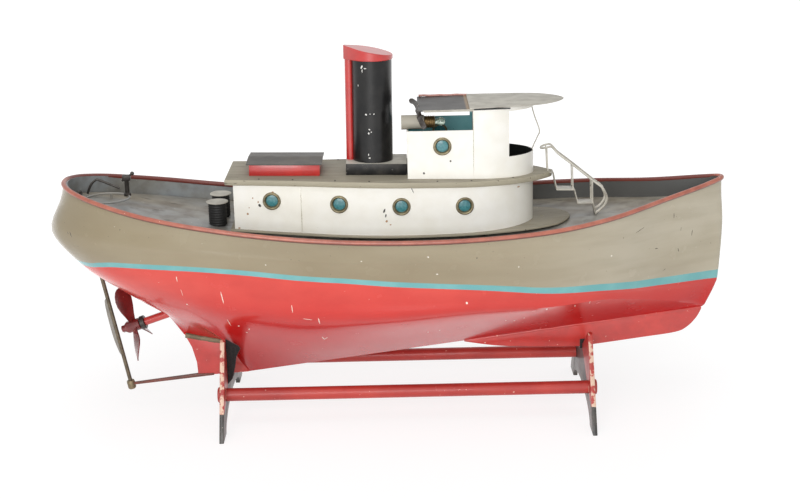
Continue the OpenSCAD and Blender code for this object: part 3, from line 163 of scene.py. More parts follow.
class Finish:
    """One material and the steps that build its colour."""

    def __init__(self, name):
        self.material = bpy.data.materials.new(name)
        self.material.use_nodes = True
        self.tree = self.material.node_tree
        self.shader = self.tree.nodes["Principled BSDF"]
        self.place = self.put("ShaderNodeTexCoord").outputs["Object"]
        self.xyz = self.put("ShaderNodeSeparateXYZ", {0: self.place}).outputs

    def put(self, kind, inputs=None, **settings):
        """A node with settings, whose inputs are values or the outputs of other nodes."""
        node = self.tree.nodes.new(kind)
        for key, value in settings.items():
            setattr(node, key, value)
        for socket, value in (inputs or {}).items():
            if isinstance(value, bpy.types.NodeSocket):
                self.tree.links.new(value, node.inputs[socket])
            else:
                node.inputs[socket].default_value = value
        return node

    def math(self, operation, *values):
        """One sum, product or comparison of numbers."""
        return self.put("ShaderNodeMath", dict(enumerate(values)), operation=operation).outputs[0]

    def noise(self, scale, stretch=(1, 1, 1), detail=4.0, shift=0.0):
        """Cloudy noise from 0 to 1, with scale in clouds a metre, and stretched along an axis."""
        way = self.put(
            "ShaderNodeMapping", {"Vector": self.place, "Location": (shift, shift, shift), "Scale": stretch}
        ).outputs[0]
        return self.put("ShaderNodeTexNoise", {"Vector": way, "Scale": scale, "Detail": detail}).outputs[0]

    def step(self, value, low, high):
        """0 below low, 1 above high, smooth between."""
        return self.put(
            "ShaderNodeMapRange",
            {"Value": value, "From Min": low, "From Max": high},
            interpolation_type="SMOOTHSTEP",
        ).outputs[0]

    def facing(self, axis):
        """How far a face looks along an axis, from -1 to 1."""
        normal = self.put("ShaderNodeNewGeometry").outputs["True Normal"]
        return self.put("ShaderNodeSeparateXYZ", {0: normal}).outputs[axis]

    def mix(self, share, first, second):
        """Two colours mixed by a share. A colour is a node's output, or screen values."""
        first, second = (srgb(*c) if isinstance(c, tuple) else c for c in (first, second))
        return self.put("ShaderNodeMix", {0: share, 6: first, 7: second}, data_type="RGBA").outputs[2]

    def mottle(self, colour, other, scale, amount, stretch=(1, 1, 1)):
        """Slow drift of a colour towards another."""
        share = self.math("MULTIPLY", self.step(self.noise(scale, stretch), 0.35, 0.7), amount)
        return self.mix(share, colour, other)

    def flecks(self, colour, fleck, scale, rare, stretch=(1, 1, 1), shift=3.0):
        """Small marks of another colour where a noise is high: rare is 0.6 for many, 0.75 for few."""
        return self.mix(self.step(self.noise(scale, stretch, 3.0, shift), rare, rare + 0.02), colour, fleck)

    def marks(self, spots):
        """1 inside ellipses on the near side: x, z, half length, half height in mm, tilt in degrees."""
        swirl = self.put("ShaderNodeTexNoise", {"Vector": self.place, "Scale": 700.0}).outputs["Color"]
        warp = self.put(
            "ShaderNodeVectorMath", {0: swirl, 1: (0.5, 0.5, 0.5)}, operation="SUBTRACT",
        ).outputs[0]  # fmt: skip
        warp = self.put("ShaderNodeVectorMath", {0: warp, "Scale": RAGGED * MM}, operation="SCALE").outputs[0]
        place = self.put("ShaderNodeVectorMath", {0: self.place, 1: warp}, operation="ADD").outputs[0]
        nearest = 9.0
        for x, z, half_l, half_h, tilt in spots:
            local = self.put(
                "ShaderNodeMapping",
                {
                    "Vector": place,
                    "Location": (x * MM, 0, z * MM),
                    "Rotation": (0, math.radians(tilt), 0),
                    "Scale": (half_l * MM, 1000.0, half_h * MM),
                },
                vector_type="TEXTURE",
            ).outputs[0]
            away = self.put("ShaderNodeVectorMath", {0: local}, operation="LENGTH").outputs[1]
            nearest = self.math("MINIMUM", away, nearest)
        inside = self.math("SUBTRACT", 1.0, self.step(nearest, 0.8, 1.1))
        return self.math("MULTIPLY", inside, self.math("LESS_THAN", self.xyz["Y"], NEAR_SIDE_Y))

    def finish(self, colour, rough, rough_noise=0.08, bump=0.15, bump_scale=600.0, height=None, **shader):
        """Joins colour, roughness and relief to the shader, and sets its plain values."""
        self.tree.links.new(colour, self.shader.inputs["Base Color"])
        gloss = self.put(
            "ShaderNodeMapRange",
            {"Value": self.noise(45.0), "To Min": rough - rough_noise, "To Max": rough + rough_noise},
        ).outputs[0]
        self.tree.links.new(gloss, self.shader.inputs["Roughness"])
        relief = self.noise(bump_scale, detail=3.0)
        if height is not None:
            relief = self.math("ADD", relief, height)
        normal = self.put(
            "ShaderNodeBump", {"Height": relief, "Strength": bump, "Distance": 0.4 * MM}
        ).outputs[0]
        self.tree.links.new(normal, self.shader.inputs["Normal"])
        for name, value in shader.items():
            self.shader.inputs[name.replace("_", " ")].default_value = value
        return self.material


def scratch(x0, z0, x1, z1, wide=0.8):
    """A scratch from one point of the side to another, as a long thin ellipse."""
    length = math.hypot(x1 - x0, z1 - z0)
    tilt = math.degrees(math.atan2(x1 - x0, z1 - z0))
    return ((x0 + x1) / 2, (z0 + z1) / 2, wide / 2, length / 2, tilt)


# %% White paper floor
FLOOR_HALF = 9.0
paper = Finish("white_paper")
camera_ray = paper.put("ShaderNodeLightPath").outputs["Is Camera Ray"]
tone_range = {"Value": camera_ray, "To Min": 0.93, "To Max": 0.26}
tone = paper.put("ShaderNodeMapRange", tone_range).outputs["Result"]
# The paper glows less near the boat, where its own shadow should show, and fully further off, where the lamps
# light it less: painted light on the floor.
reach = paper.put("ShaderNodeVectorMath", {0: paper.place}, operation="LENGTH").outputs["Value"]
glow_range = {"Value": reach, "From Min": 0.35, "From Max": 1.1, "To Min": 0.81, "To Max": 1.0}
glow = paper.put("ShaderNodeMapRange", glow_range).outputs["Result"]
glow = paper.math("MULTIPLY", see_white(paper.tree, 0.0, 1.0), glow)
paper.tree.links.new(tone, paper.shader.inputs["Base Color"])
paper.tree.links.new(glow, paper.shader.inputs["Emission Strength"])
for label, value in (("Roughness", 0.9), ("Specular IOR Level", 0.1), ("Emission Color", (1, 1, 1, 1))):
    paper.shader.inputs[label].default_value = value
floor_mesh = bpy.data.meshes.new("paper_floor")
corners = [(-1, -1), (1, -1), (1, 1), (-1, 1)]
floor_mesh.from_pydata([(x * FLOOR_HALF, y * FLOOR_HALF, 0) for x, y in corners], [], [(0, 1, 2, 3)])
floor_mesh.materials.append(paper.material)
paper_floor = bpy.data.objects.new("paper_floor", floor_mesh)
bpy.context.scene.collection.objects.link(paper_floor)

# %% [markdown]
# ### Hull paint
#
# The hull is one surface in three enamels: grey topsides, a teal line that sweeps up to the stern and
# widens to the bow, and a red bottom. A Float Curve gives the height of the line for each distance
# along the boat, and the height above or below it picks the colour. The white scratches in the red
# are where the photograph has them.
# The topsides are painted lighter towards the bow, and the red deep low down and paler higher up: both are
# painted light.

# %% Hull paint
LINE_HEIGHTS = [
    (-409, 205.5), (-357, 208.5), (-340, 212.5), (-314, 216), (-265, 216.6), (-217, 214.8), (-159, 210.8),
    (-101, 205), (-44, 201), (13, 196), (71, 192.5), (128, 188), (186, 182), (247, 178), (312, 170),
    (366, 166), (409, 163.5),
]  # fmt: skip
LINE_LOW, LINE_HIGH = 150.0, 230.0
RED_SCRATCHES = [
    scratch(-246.2, 205.7, -245.9, 197.5), scratch(-243, 187, -241.8, 177, 0.5), (-238.9, 163.9, 0.9, 0.9, 0),
    scratch(-195.8, 186, -193.6, 168.5, 1.1), scratch(-192.5, 144.5, -189.7, 132), (-180, 133, 1, 1, 0),
    scratch(-113.2, 170, -112.3, 160.1, 0.9), scratch(-101, 151.5, -90, 150, 0.8), (-82, 148.6, 5, 0.5, 84),
    scratch(-81, 117.6, -78.5, 111.5, 1.3), scratch(-79, 111.5, -74.5, 116.5, 1.0), (90.3, 171, 1.3, 1.6, 0),
    (184.9, 154.5, 1.0, 2.0, 0), (219.1, 154.5, 2.2, 0.9, 80), scratch(236.4, 162, 236.5, 155.5, 0.8),
    (289, 184.5, 0.8, 0.8, 0), (150, 128, 1.2, 0.8, 0), (139, 131, 0.8, 0.8, 0), (161, 134, 0.9, 0.7, 0),
    (60, 118, 0.8, 0.8, 0), (46, 115, 0.8, 0.8, 0), (-172, 121, 1.0, 0.8, 0), (-168, 128, 0.7, 1.2, 20),
]  # fmt: skip
PALE_CHIPS = [
    (46.3, 229.7, 1.0, 0.8, 0), (56.4, 208.5, 1.2, 0.8, 0), (261, 215.4, 0.9, 1.0, 0),
    (-30, 226, 0.8, 0.7, 0), (150, 214, 0.7, 0.7, 0), (-140, 222, 0.8, 0.6, 0),
]  # fmt: skip
DARK_NICKS = [
    scratch(-375.5, 249.8, -373, 243.3, 0.9), scratch(-379, 249, -377.5, 246, 0.5),
    (-282.1, 210.2, 1.5, 1.0, 0), scratch(291, 237.5, 303, 243, 0.8), scratch(341.4, 253, 341.6, 246, 0.9),
    scratch(349.1, 207, 350, 202, 0.8), scratch(367.5, 227, 366.5, 219, 0.8),
    scratch(352, 233, 351.5, 228, 0.5), (320, 212, 2.0, 0.5, 10),
]  # fmt: skip
LINE_SPAN = 0.818
look = Finish("hull_enamel")
along_boat = look.math("MULTIPLY_ADD", look.xyz["X"], 1 / LINE_SPAN, 0.5)
line = look.put("ShaderNodeFloatCurve", {"Value": along_boat})
curve = line.mapping.curves[0]
for number, (x, z) in enumerate(LINE_HEIGHTS):
    spot = ((x * MM) / LINE_SPAN + 0.5, (z - LINE_LOW) / (LINE_HIGH - LINE_LOW))
    if number == 0:
        curve.points[0].location = spot
    elif number == len(LINE_HEIGHTS) - 1:
        curve.points[len(curve.points) - 1].location = spot
    else:
        curve.points.new(*spot)
line.mapping.update()
line_z = look.math("MULTIPLY_ADD", line.outputs[0], (LINE_HIGH - LINE_LOW) * MM, LINE_LOW * MM)
wobble = look.math("MULTIPLY_ADD", look.noise(30.0), 0.8 * MM, -0.4 * MM)
over_line = look.math("SUBTRACT", look.math("ADD", look.xyz["Z"], wobble), line_z)
half_line = look.put(
    "ShaderNodeMapRange",
    {"Value": look.xyz["X"], "From Min": 0.08, "From Max": 0.4, "To Min": 3.2 * MM, "To Max": 5.3 * MM},
).outputs[0]
fade = 0.25 * MM
above = look.math("SUBTRACT", over_line, half_line)
below = look.math("ADD", over_line, half_line)
# Painted light: the topsides grow lighter towards the bow, where they face the lamps.
forward = look.step(look.xyz["X"], 0.04, 0.36)
topside = look.mix(forward, (151, 138, 112), (196, 188, 168))
topside = look.mottle(topside, (172, 161, 136), 7.0, 0.5, (1, 1, 2))
topside = look.mottle(topside, (146, 134, 110), 28.0, 0.3, (0.3, 0.3, 2))
topside = look.flecks(topside, (104, 98, 84), 260.0, 0.735)
topside = look.flecks(topside, (214, 208, 192), 330.0, 0.76, shift=8.0)
topside = look.mix(look.marks(DARK_NICKS), topside, (88, 82, 72))
# Painted light: the red is deep low down, where the bottom is in shade, and paler and pinker higher up, where
# it catches the light.
red_shade_to_sheen = look.step(look.xyz["Z"], 0.118, 0.2)
bottom = look.mix(red_shade_to_sheen, (192, 13, 17), (226, 84, 74))
bottom = look.mottle(bottom, (220, 56, 48), 9.0, 0.3)
bottom = look.mottle(bottom, (176, 30, 32), 40.0, 0.2, (0.5, 0.5, 1))
bottom = look.flecks(bottom, (236, 205, 190), 300.0, 0.765)
bottom = look.mix(look.marks(RED_SCRATCHES), bottom, (250, 236, 222))
teal = look.mottle((112, 178, 180), (131, 192, 192), 30.0, 0.8)
banded = look.mix(look.step(below, -fade, fade), bottom, teal)
banded = look.mix(look.step(above, -fade, fade), banded, topside)
banded = look.mix(look.marks(PALE_CHIPS), banded, (238, 232, 220))
shine = {"Coat_Weight": 0.25, "Coat_Roughness": 0.08, "Specular_IOR_Level": 0.22}
hull_enamel = look.finish(banded, 0.25, 0.07, bump=0.1, bump_scale=420.0, **shine)
print("hull paint:", len(LINE_HEIGHTS), "line heights,", len(RED_SCRATCHES), "marks in the red")

# %% [markdown]
# ### Plain enamels
#
# The other painted pieces have one colour each. They differ in how dirty and how chipped they are, so
# one helper with those as its inputs makes them all.


# %% One-colour enamels
def enamel(name, colour, drift, dirt, under, rough=0.35, dirty=0.35, chipped=0.75, fleck=220.0, coat=0.3,
           stretch=(1, 1, 1), dirt_scale=60.0, gloss=0.5, **more):  # fmt: skip
    """Brush enamel of one colour that drifts to another, with dirt, and chips down to what is under it; it
    may also take marks and painted shade.
    """
    paint = Finish(name)
    tone = paint.mottle(colour, drift, 14.0, 0.9, stretch)
    tone = paint.mottle(tone, dirt, dirt_scale, dirty)
    tone = paint.flecks(tone, under, fleck, chipped)
    for spots, mark in more.get("spots", ()):
        tone = paint.mix(paint.marks(spots), tone, mark)
    if "stains" in more:
        mark, size = more["stains"]
        stained = paint.math("MULTIPLY", paint.step(paint.noise(size, (1, 2, 1)), 0.6, 0.72), 0.8)
        tone = paint.mix(stained, tone, mark)
    # inner: painted shade on faces that look in towards the middle of the boat
    if "inner" in more:
        inward = paint.math("MULTIPLY", paint.facing("Y"), paint.math("SIGN", paint.xyz["Y"]))
        inward = paint.math("SUBTRACT", 1.0, paint.step(inward, -0.75, -0.35))
        tone = paint.mix(paint.math("MULTIPLY", inward, 0.8), tone, more["inner"])
    # belly: painted shade on faces that look down
    if "belly" in more:
        tone = paint.mix(paint.step(paint.facing("Z"), -0.55, -0.05), more["belly"], tone)
    if "top" in more:
        tone = paint.mix(paint.step(paint.facing("Z"), 0.3, 0.8), tone, more["top"])
    for axis, start, full, mark in more.get("ends", ()):
        tone = paint.mix(paint.step(paint.xyz[axis], start * MM, full * MM), tone, mark)
    shine = {"Coat_Weight": coat, "Coat_Roughness": 0.2, "Specular_IOR_Level": gloss}
    return paint.finish(tone, rough, bump_scale=500.0, **shine)


keel_red = enamel(
    "keel_red", (196, 52, 46), (212, 66, 56), (150, 40, 36), (236, 200, 180), dirty=0.3, chipped=0.73,
    coat=0.45,
)  # fmt: skip
# The rail is darker on its inward faces, on its underside and along its port half: painted shade.
rail_salmon = enamel(
    "rail_salmon", (172, 92, 72), (194, 116, 94), (108, 50, 38), (236, 204, 184), dirty=0.35, chipped=0.73,
    fleck=320.0, dirt_scale=90.0, inner=(104, 42, 34), belly=(92, 42, 32),
    ends=(("Y", 4, 16, (112, 46, 36)),),
)  # fmt: skip
deck_grey = enamel(
    "deck_grey", (166, 158, 142), (146, 150, 152), (92, 78, 60), (206, 202, 192), rough=0.42, dirty=0.6,
    chipped=0.72, coat=0.1, dirt_scale=42.0, stretch=(0.35, 1, 1), stains=((66, 58, 48), 36.0),
)  # fmt: skip
bulwark_grey = enamel(
    "bulwark_grey", (150, 156, 160), (140, 138, 130), (92, 80, 66), (206, 202, 194), rough=0.35, dirty=0.4,
    chipped=0.72, coat=0.3, ends=(("X", -60, 120, (84, 84, 82)),),
)  # fmt: skip
HOUSE_SEAMS = [scratch(103.2, 304, 103.2, 382, 0.7), scratch(-101, 241, -101, 297, 0.7)]
# Small holes in the sheet, drawn as dark marks: painted shade inside the holes.
HOUSE_HOLES = [
    (-150.2, 274.7, 2.2, 1.5, 60), (44.6, 308.8, 1.1, 1.4, 0), (76.1, 322.8, 1.2, 1.0, 0),
    scratch(29, 296, 32, 288.5, 0.8), (-3, 268, 1.0, 3.0, 20), (-1.5, 262, 0.8, 2.0, 10),
]  # fmt: skip
HOUSE_RUST = [
    (-134.1, 291, 1.2, 0.8, 0), (-165, 264.5, 1.2, 1.4, 0), (-158.2, 283.8, 0.9, 0.9, 0),
    (-152, 279, 0.8, 1.4, 0), (-0.5, 255.4, 1.6, 1.4, 0), (4, 251, 1.0, 0.7, 0), (-163, 272, 0.7, 0.7, 0),
    (-103.5, 239.8, 0.8, 1.6, 0), (156.8, 287, 2.0, 0.8, 0), (-176, 247, 1.6, 0.8, 0),
]  # fmt: skip
house_white = enamel(
    "house_white", (252, 250, 243), (247, 244, 233), (226, 218, 198), (130, 92, 58), rough=0.4, dirty=0.16,
    chipped=0.775, fleck=260.0, coat=0.25,
    spots=((HOUSE_SEAMS, (170, 160, 138)), (HOUSE_HOLES, (30, 24, 20)), (HOUSE_RUST, (170, 128, 86))),
)  # fmt: skip
canopy_grey = enamel(
    "canopy_grey", (192, 188, 177), (204, 200, 188), (124, 116, 104), (96, 90, 80), rough=0.55, dirty=0.35,
    chipped=0.74, coat=0.0,
)  # fmt: skip
after_canopy_grey = enamel(
    "after_canopy_grey", (50, 49, 48), (68, 66, 63), (46, 41, 36), (170, 160, 146), rough=0.45, dirty=0.35,
    chipped=0.74, coat=0.05, gloss=0.3, ends=(("X", 94, 97, (142, 118, 86)),),
)  # fmt: skip
rust_brown = enamel(
    "rust_brown", (56, 46, 38), (38, 32, 28), (28, 24, 22), (190, 180, 162), rough=0.5, dirty=0.6,
    chipped=0.68, coat=0.1, fleck=400.0,
)  # fmt: skip
hem_pink = enamel(
    "hem_pink", (206, 152, 142), (190, 138, 128), (140, 100, 88), (232, 210, 200), rough=0.5, dirty=0.4,
    chipped=0.72, coat=0.1,
)  # fmt: skip
# The tube is dark brown along its underside and grey above: painted shade under the tube, with some rust.
lamp_grey = enamel(
    "lamp_grey", (84, 66, 48), (66, 52, 40), (48, 40, 34), (150, 140, 120), rough=0.5, dirty=0.35,
    chipped=0.74, coat=0.0, ends=(("Z", 359.6, 361.2, (166, 160, 146)),),
)  # fmt: skip
lid_grey = enamel(
    "lid_grey", (58, 52, 45), (46, 42, 37), (84, 76, 64), (140, 132, 118), rough=0.5, dirty=0.5,
    chipped=0.74, coat=0.1,
)  # fmt: skip
trim_red = enamel(
    "trim_red", (190, 34, 32), (206, 46, 40), (128, 28, 26), (238, 190, 170), dirty=0.25, chipped=0.755,
    coat=0.6,
)  # fmt: skip
FUNNEL_CHIPS = [
    (-25.9, 432, 0.9, 2.2, 20), (-22.0, 430.5, 1.5, 0.6, 0), (-25.4, 427.5, 0.5, 2.0, 0),
    (-22.2, 375.9, 1.5, 0.9, 30), (-17.5, 376.6, 0.7, 0.5, 0), (-12.8, 376.4, 0.6, 0.9, 0),
    (-18.6, 358, 1.2, 0.8, 30), (-19.6, 353.5, 0.8, 1.3, 0), (-20.5, 327.5, 0.5, 1.3, -10),
    (-19.3, 323.6, 1.2, 0.8, 0), (-30.7, 410, 0.5, 1.1, 0), (-16.5, 355, 0.6, 0.7, 0),
]  # fmt: skip
funnel_black = enamel(
    "funnel_black", (9, 9, 10), (19, 19, 21), (44, 42, 40), (150, 146, 140), rough=0.32, dirty=0.35,
    chipped=0.755, stretch=(1, 1, 0.15), coat=0.12, gloss=0.25, spots=((FUNNEL_CHIPS, (236, 234, 228)),),
)  # fmt: skip
box_black = enamel(
    "box_black", (16, 16, 17), (30, 30, 31), (78, 74, 68), (196, 190, 180), rough=0.45, dirty=0.45,
    chipped=0.7, fleck=240.0, coat=0.08, gloss=0.25, top=(128, 121, 108),
)  # fmt: skip
teal_paint = enamel(
    "teal_paint", (124, 196, 202), (138, 206, 210), (96, 156, 164), (70, 110, 116), rough=0.4, dirty=0.2,
)  # fmt: skip
propeller_red = enamel(
    "propeller_red", (122, 34, 34), (150, 52, 48), (70, 26, 24), (206, 150, 128), dirty=0.5, chipped=0.7,
)  # fmt: skip
heel_rust = enamel(
    "heel_rust", (126, 68, 56), (100, 58, 46), (58, 40, 34), (206, 160, 140), rough=0.5, dirty=0.5,
    chipped=0.7, coat=0.1,
)  # fmt: skip
wire_white = enamel(
    "wire_white", (226, 222, 210), (206, 200, 186), (140, 132, 116), (110, 100, 84), dirty=0.5,
    chipped=0.66, fleck=300.0, coat=0.1,
)  # fmt: skip
stair_white = enamel(
    "stair_white", (206, 202, 190), (176, 170, 156), (110, 102, 90), (90, 82, 70), rough=0.5, dirty=0.6,
    chipped=0.7,
)  # fmt: skip
engine_green = enamel("engine_green", (36, 78, 50), (44, 90, 58), (24, 50, 34), (150, 130, 80), dirty=0.3)

# %% [markdown]
# ### Metals, wood, felt and glass
#
# Old brass is dull, with brown stains. The roof boards and the stand are wood: grain is a noise
# stretched along the board, cracks are a like noise cut sharply, the stand's edges have lost their paint,
# and the side faces of the roof boards are lighter than their tops.


# %% Metals
def old_metal(name, colour, stain, rough, metal=1.0):
    """Bare metal with stains that are rougher and darker."""
    look = Finish(name)
    tone = look.mottle(colour, stain, 120.0, 0.6)
    tone = look.mottle(tone, stain, 600.0, 0.36)
    return look.finish(tone, rough, 0.12, bump=0.2, bump_scale=900.0, Metallic=metal)


grommet_brass = old_metal("grommet_brass", (146, 136, 108), (82, 72, 52), 0.4, 0.7)
boiler_brass = old_metal("boiler_brass", (196, 164, 92), (120, 92, 50), 0.35)
rudder_bronze = old_metal("rudder_bronze", (112, 102, 84), (60, 52, 44), 0.5, 0.6)
heel_brass = old_metal("heel_brass", (138, 124, 98), (84, 72, 56), 0.5, 0.6)
dark_steel = old_metal("dark_steel", (74, 70, 66), (40, 36, 33), 0.45, 0.6)
bright_steel = old_metal("bright_steel", (176, 176, 174), (110, 106, 100), 0.3)
solder_olive = old_metal("solder_olive", (132, 122, 98), (88, 78, 60), 0.6, 0.4)
pale_chain = old_metal("pale_chain", (206, 204, 196), (140, 134, 122), 0.4, 0.5)

# %% Wooden roof, stand, felt and glass
look = Finish("roof_boards")
grain = look.noise(60.0, (0.35, 9, 4), 6.0)
boards = look.mix(look.step(grain, 0.3, 0.75), (148, 141, 123), (180, 172, 153))
boards = look.mottle(boards, (112, 105, 92), 11.0, 0.5)
# The side faces of the boards are made lighter than their tops.
edge_face = look.math("SUBTRACT", 1.0, look.step(look.facing("Z"), 0.35, 0.9))
boards = look.mix(look.math("MULTIPLY", edge_face, 0.75), boards, (176, 168, 146))
cracks = look.step(look.noise(46.0, (0.16, 11, 3), 3.0, 5.0), 0.67, 0.69)
boards = look.mix(look.math("MULTIPLY", cracks, 0.7), boards, (70, 63, 54))
boards = look.flecks(boards, (60, 52, 44), 260.0, 0.715, (0.6, 1, 1))
boards = look.flecks(boards, (206, 200, 184), 240.0, 0.745, shift=6.0)
roof_boards = look.finish(
    boards, 0.62, 0.08, bump=0.35, bump_scale=500.0, height=look.math("MULTIPLY", cracks, -1.0)
)

AFT_BOARD, FORE_BOARD, BOARD_T = -203.0, 242.0, 5.5
STAND_MARK_Z = 30.0
look = Finish("stand_paint")
red = look.mottle((196, 66, 56), (176, 50, 46), 30.0, 0.8, (1, 1, 0.4))
red = look.mottle(red, (120, 40, 36), 24.0, 0.35, (0.3, 1, 1))
sideways = look.math("ABSOLUTE", look.facing("X"))
on_edge = look.math("SUBTRACT", 1.0, look.step(sideways, 0.4, 0.8))
board_reach = (BOARD_T / 2 + 0.15) * MM
in_board = []
for board_x in (AFT_BOARD, FORE_BOARD):
    away = look.math("ABSOLUTE", look.math("ADD", look.xyz["X"], -board_x * MM))
    in_board.append(look.math("LESS_THAN", away, board_reach))
is_board = look.math("MAXIMUM", *in_board)
worn = look.math("MULTIPLY", on_edge, is_board)
worn = look.math("MULTIPLY", worn, look.step(look.noise(130.0), 0.45, 0.54))
red = look.mix(worn, red, (226, 196, 172))
red = look.flecks(red, (232, 186, 166), 230.0, 0.715)
foot_line = look.math(
    "ADD",
    look.math("MULTIPLY_ADD", look.noise(40.0), 0.012, STAND_MARK_Z * MM - 0.006),
    look.math("MULTIPLY", look.step(look.xyz["Y"], -0.11, 0.06), 0.06),
)
low_down = look.math("MULTIPLY", is_board, look.math("LESS_THAN", look.xyz["Z"], foot_line))
black = look.mottle((40, 38, 36), (84, 80, 74), 60.0, 0.7)
black = look.flecks(black, (170, 160, 146), 260.0, 0.7)
stand_paint = look.finish(
    look.mix(low_down, red, black), 0.5, 0.1, bump=0.3, bump_scale=350.0, Coat_Weight=0.15,
)  # fmt: skip


def clouded(name, colour, other, scale, amount, rough, rough_noise, stretch=(1, 1, 1), **more):
    """A colour that drifts to another, without dirt or chips."""
    look = Finish(name)
    return look.finish(look.mottle(colour, other, scale, amount, stretch), rough, rough_noise, **more)


black_felt = clouded("black_felt", (20, 20, 21), (44, 43, 42), 400.0, 0.8, 0.95, 0.03,
                     bump=0.6, bump_scale=1800.0, Sheen_Weight=0.3)  # fmt: skip
wick_cotton = clouded("wick_cotton", (224, 214, 190), (150, 130, 100), 300.0, 0.6, 0.9, 0.05, (1, 1, 0.1),
                      bump=0.6, bump_scale=1500.0)  # fmt: skip
teal_glass = clouded("teal_glass", (52, 118, 126), (84, 150, 154), 420.0, 0.8, 0.3, 0.05,
                     bump=0.1, Coat_Weight=0.3)  # fmt: skip
bulb_glass = clouded("bulb_glass", (206, 220, 206), (170, 190, 176), 200.0, 0.5, 0.08, 0.03,
                     bump=0.02, Transmission_Weight=0.7, IOR=1.45)  # fmt: skip
socket_brass = old_metal("socket_brass", (148, 122, 78), (76, 60, 40), 0.4, 0.8)
# Flat black for the bollards, the machinery bearers and the inside of the wheelhouse front; on the thin strip
# under the fore roof's edge it is painted shadow.
inside_black = enamel(
    "inside_black", (12, 12, 13), (22, 21, 21), (30, 28, 26), (60, 56, 50), rough=0.6, coat=0.0,
)  # fmt: skip
print("finishes made:", len(bpy.data.materials))

# %% [markdown]
# ## Shape helpers
#
# Sheet-metal work comes down to a few moves: lay a skin over section lines, cut a flat plate, turn a
# round part, and punch holes. Each helper does one of these and gives back a plain mesh object.


# %% Meshes, plates and turned parts
def piece(name, points, faces, finish, smooth=32.0, extra=()):
    """A mesh object from points in mm, with creases sharper than an angle kept sharp."""
    mesh = bpy.data.meshes.new(name)
    mesh.from_pydata([(x * MM, y * MM, z * MM) for x, y, z in points], [], faces)
    for look in (finish, *extra):
        mesh.materials.append(look)
    thing = bpy.data.objects.new(name, mesh)
    bpy.context.scene.collection.objects.link(thing)
    if smooth:
        tidy(thing, smooth)
    return thing


def tidy(thing, smooth=32.0):
    """Merges doubles, turns faces outwards and sets which edges look sharp."""
    form = bmesh.new()
    form.from_mesh(thing.data)
    bmesh.ops.remove_doubles(form, verts=form.verts, dist=0.002 * MM)
    bmesh.ops.recalc_face_normals(form, faces=form.faces)
    form.to_mesh(thing.data)
    form.free()
    thing.data.shade_smooth()
    thing.data.set_sharp_from_angle(angle=math.radians(smooth))


def settle(thing, smooth=None):
    """Applies an object's modifiers, so that its mesh is plain."""
    graph = bpy.context.evaluated_depsgraph_get()
    mesh = bpy.data.meshes.new_from_object(thing.evaluated_get(graph))
    thing.modifiers.clear()
    old = thing.data
    thing.data = mesh
    bpy.data.meshes.remove(old)
    mesh.name = thing.name
    if smooth:
        tidy(thing, smooth)
    return thing


def rounded(thing, width, segments=2, angle=35.0, smooth=32.0):
    """Rounds the sharp edges of a piece by a width in mm."""
    bevel = thing.modifiers.new("rounded edges", "BEVEL")
    bevel.width = width * MM
    bevel.segments = segments
    bevel.limit_method = "ANGLE"
    bevel.angle_limit = math.radians(angle)
    return settle(thing, smooth)


def moved(thing, matrix):
    """Moves a piece's mesh, in metres, and leaves its object at the origin."""
    thing.data.transform(matrix)
    thing.data.update()
    return thing


def at(x, y, z, turn_x=0.0, turn_y=0.0, turn_z=0.0):
    """A place in mm, with turns in degrees about Z, then Y, then X."""
    place = Matrix.Translation((x * MM, y * MM, z * MM))
    for angle, axis in ((turn_z, "Z"), (turn_y, "Y"), (turn_x, "X")):
        place = place @ Matrix.Rotation(math.radians(angle), 4, axis)
    return place


def arc(across, up, angles, middle=(0.0, 0.0)):
    """Points on an ellipse at angles in degrees, about a middle point."""
    turns = [math.radians(a) for a in angles]
    return [(middle[0] + across * math.cos(a), middle[1] + up * math.sin(a)) for a in turns]


def cut(thing, *tools, operation="DIFFERENCE", smooth=32.0):
    """Cuts solid tools out of a piece, and throws the tools away."""
    for tool in tools:
        knife = thing.modifiers.new("cut", "BOOLEAN")
        knife.operation = operation
        knife.solver = "EXACT"
        knife.object = tool
    settle(thing, smooth)
    for tool in tools:
        bpy.data.objects.remove(tool)
    return thing


def plate(name, outline, thick, finish, place=None):
    """A flat plate: a closed outline in its own X and Y, as thick along Z, centred on it."""
    n = len(outline)
    points = [(x, y, s * thick / 2) for s in (-1, 1) for x, y in outline]
    faces = [tuple(range(n)), tuple(range(n, 2 * n))]
    faces += [(i, (i + 1) % n, n + (i + 1) % n, n + i) for i in range(n)]
    thing = piece(name, points, faces, finish)
    return moved(thing, place) if place else thing


SIDE_VIEW = Matrix.Rotation(math.radians(90), 4, "X")
END_VIEW = Matrix(((0, 0, 1, 0), (1, 0, 0, 0), (0, 1, 0, 0), (0, 0, 0, 1)))


def side_plate(name, outline, thick, finish, y=0.0):
    """A plate seen from the side: a closed outline in X and Z, as thick along Y, centred on y."""
    return plate(name, outline, thick, finish, at(0, y, 0) @ SIDE_VIEW)


def block(name, low, high, finish=None):
    """A box between two corners."""
    (a, b, c), (d, e, f) = low, high
    thing = plate(name, [(a, b), (d, b), (d, e), (a, e)], f - c, finish)
    return moved(thing, at(0, 0, (c + f) / 2))


def turned(name, profile, finish, place=None, sides=48, smooth=32.0):
    """A part turned on a lathe: (radius, height) down its outside, round its own Z."""
    points = []
    for radius, height in profile:
        for k in range(sides):
            angle = 2 * math.pi * k / sides
            points.append((radius * math.cos(angle), radius * math.sin(angle), height))
    faces = []
    for row in range(len(profile) - 1):
        for k in range(sides):
            a, b = row * sides + k, row * sides + (k + 1) % sides
            faces.append((a, b, b + sides, a + sides))
    if profile[0] != profile[-1]:
        for row, keep in ((0, profile[0][0]), (len(profile) - 1, profile[-1][0])):
            if keep > 0:
                faces.append(tuple(range(row * sides, (row + 1) * sides)))
    thing = piece(name, points, faces, finish, smooth)
    return moved(thing, place) if place else thing


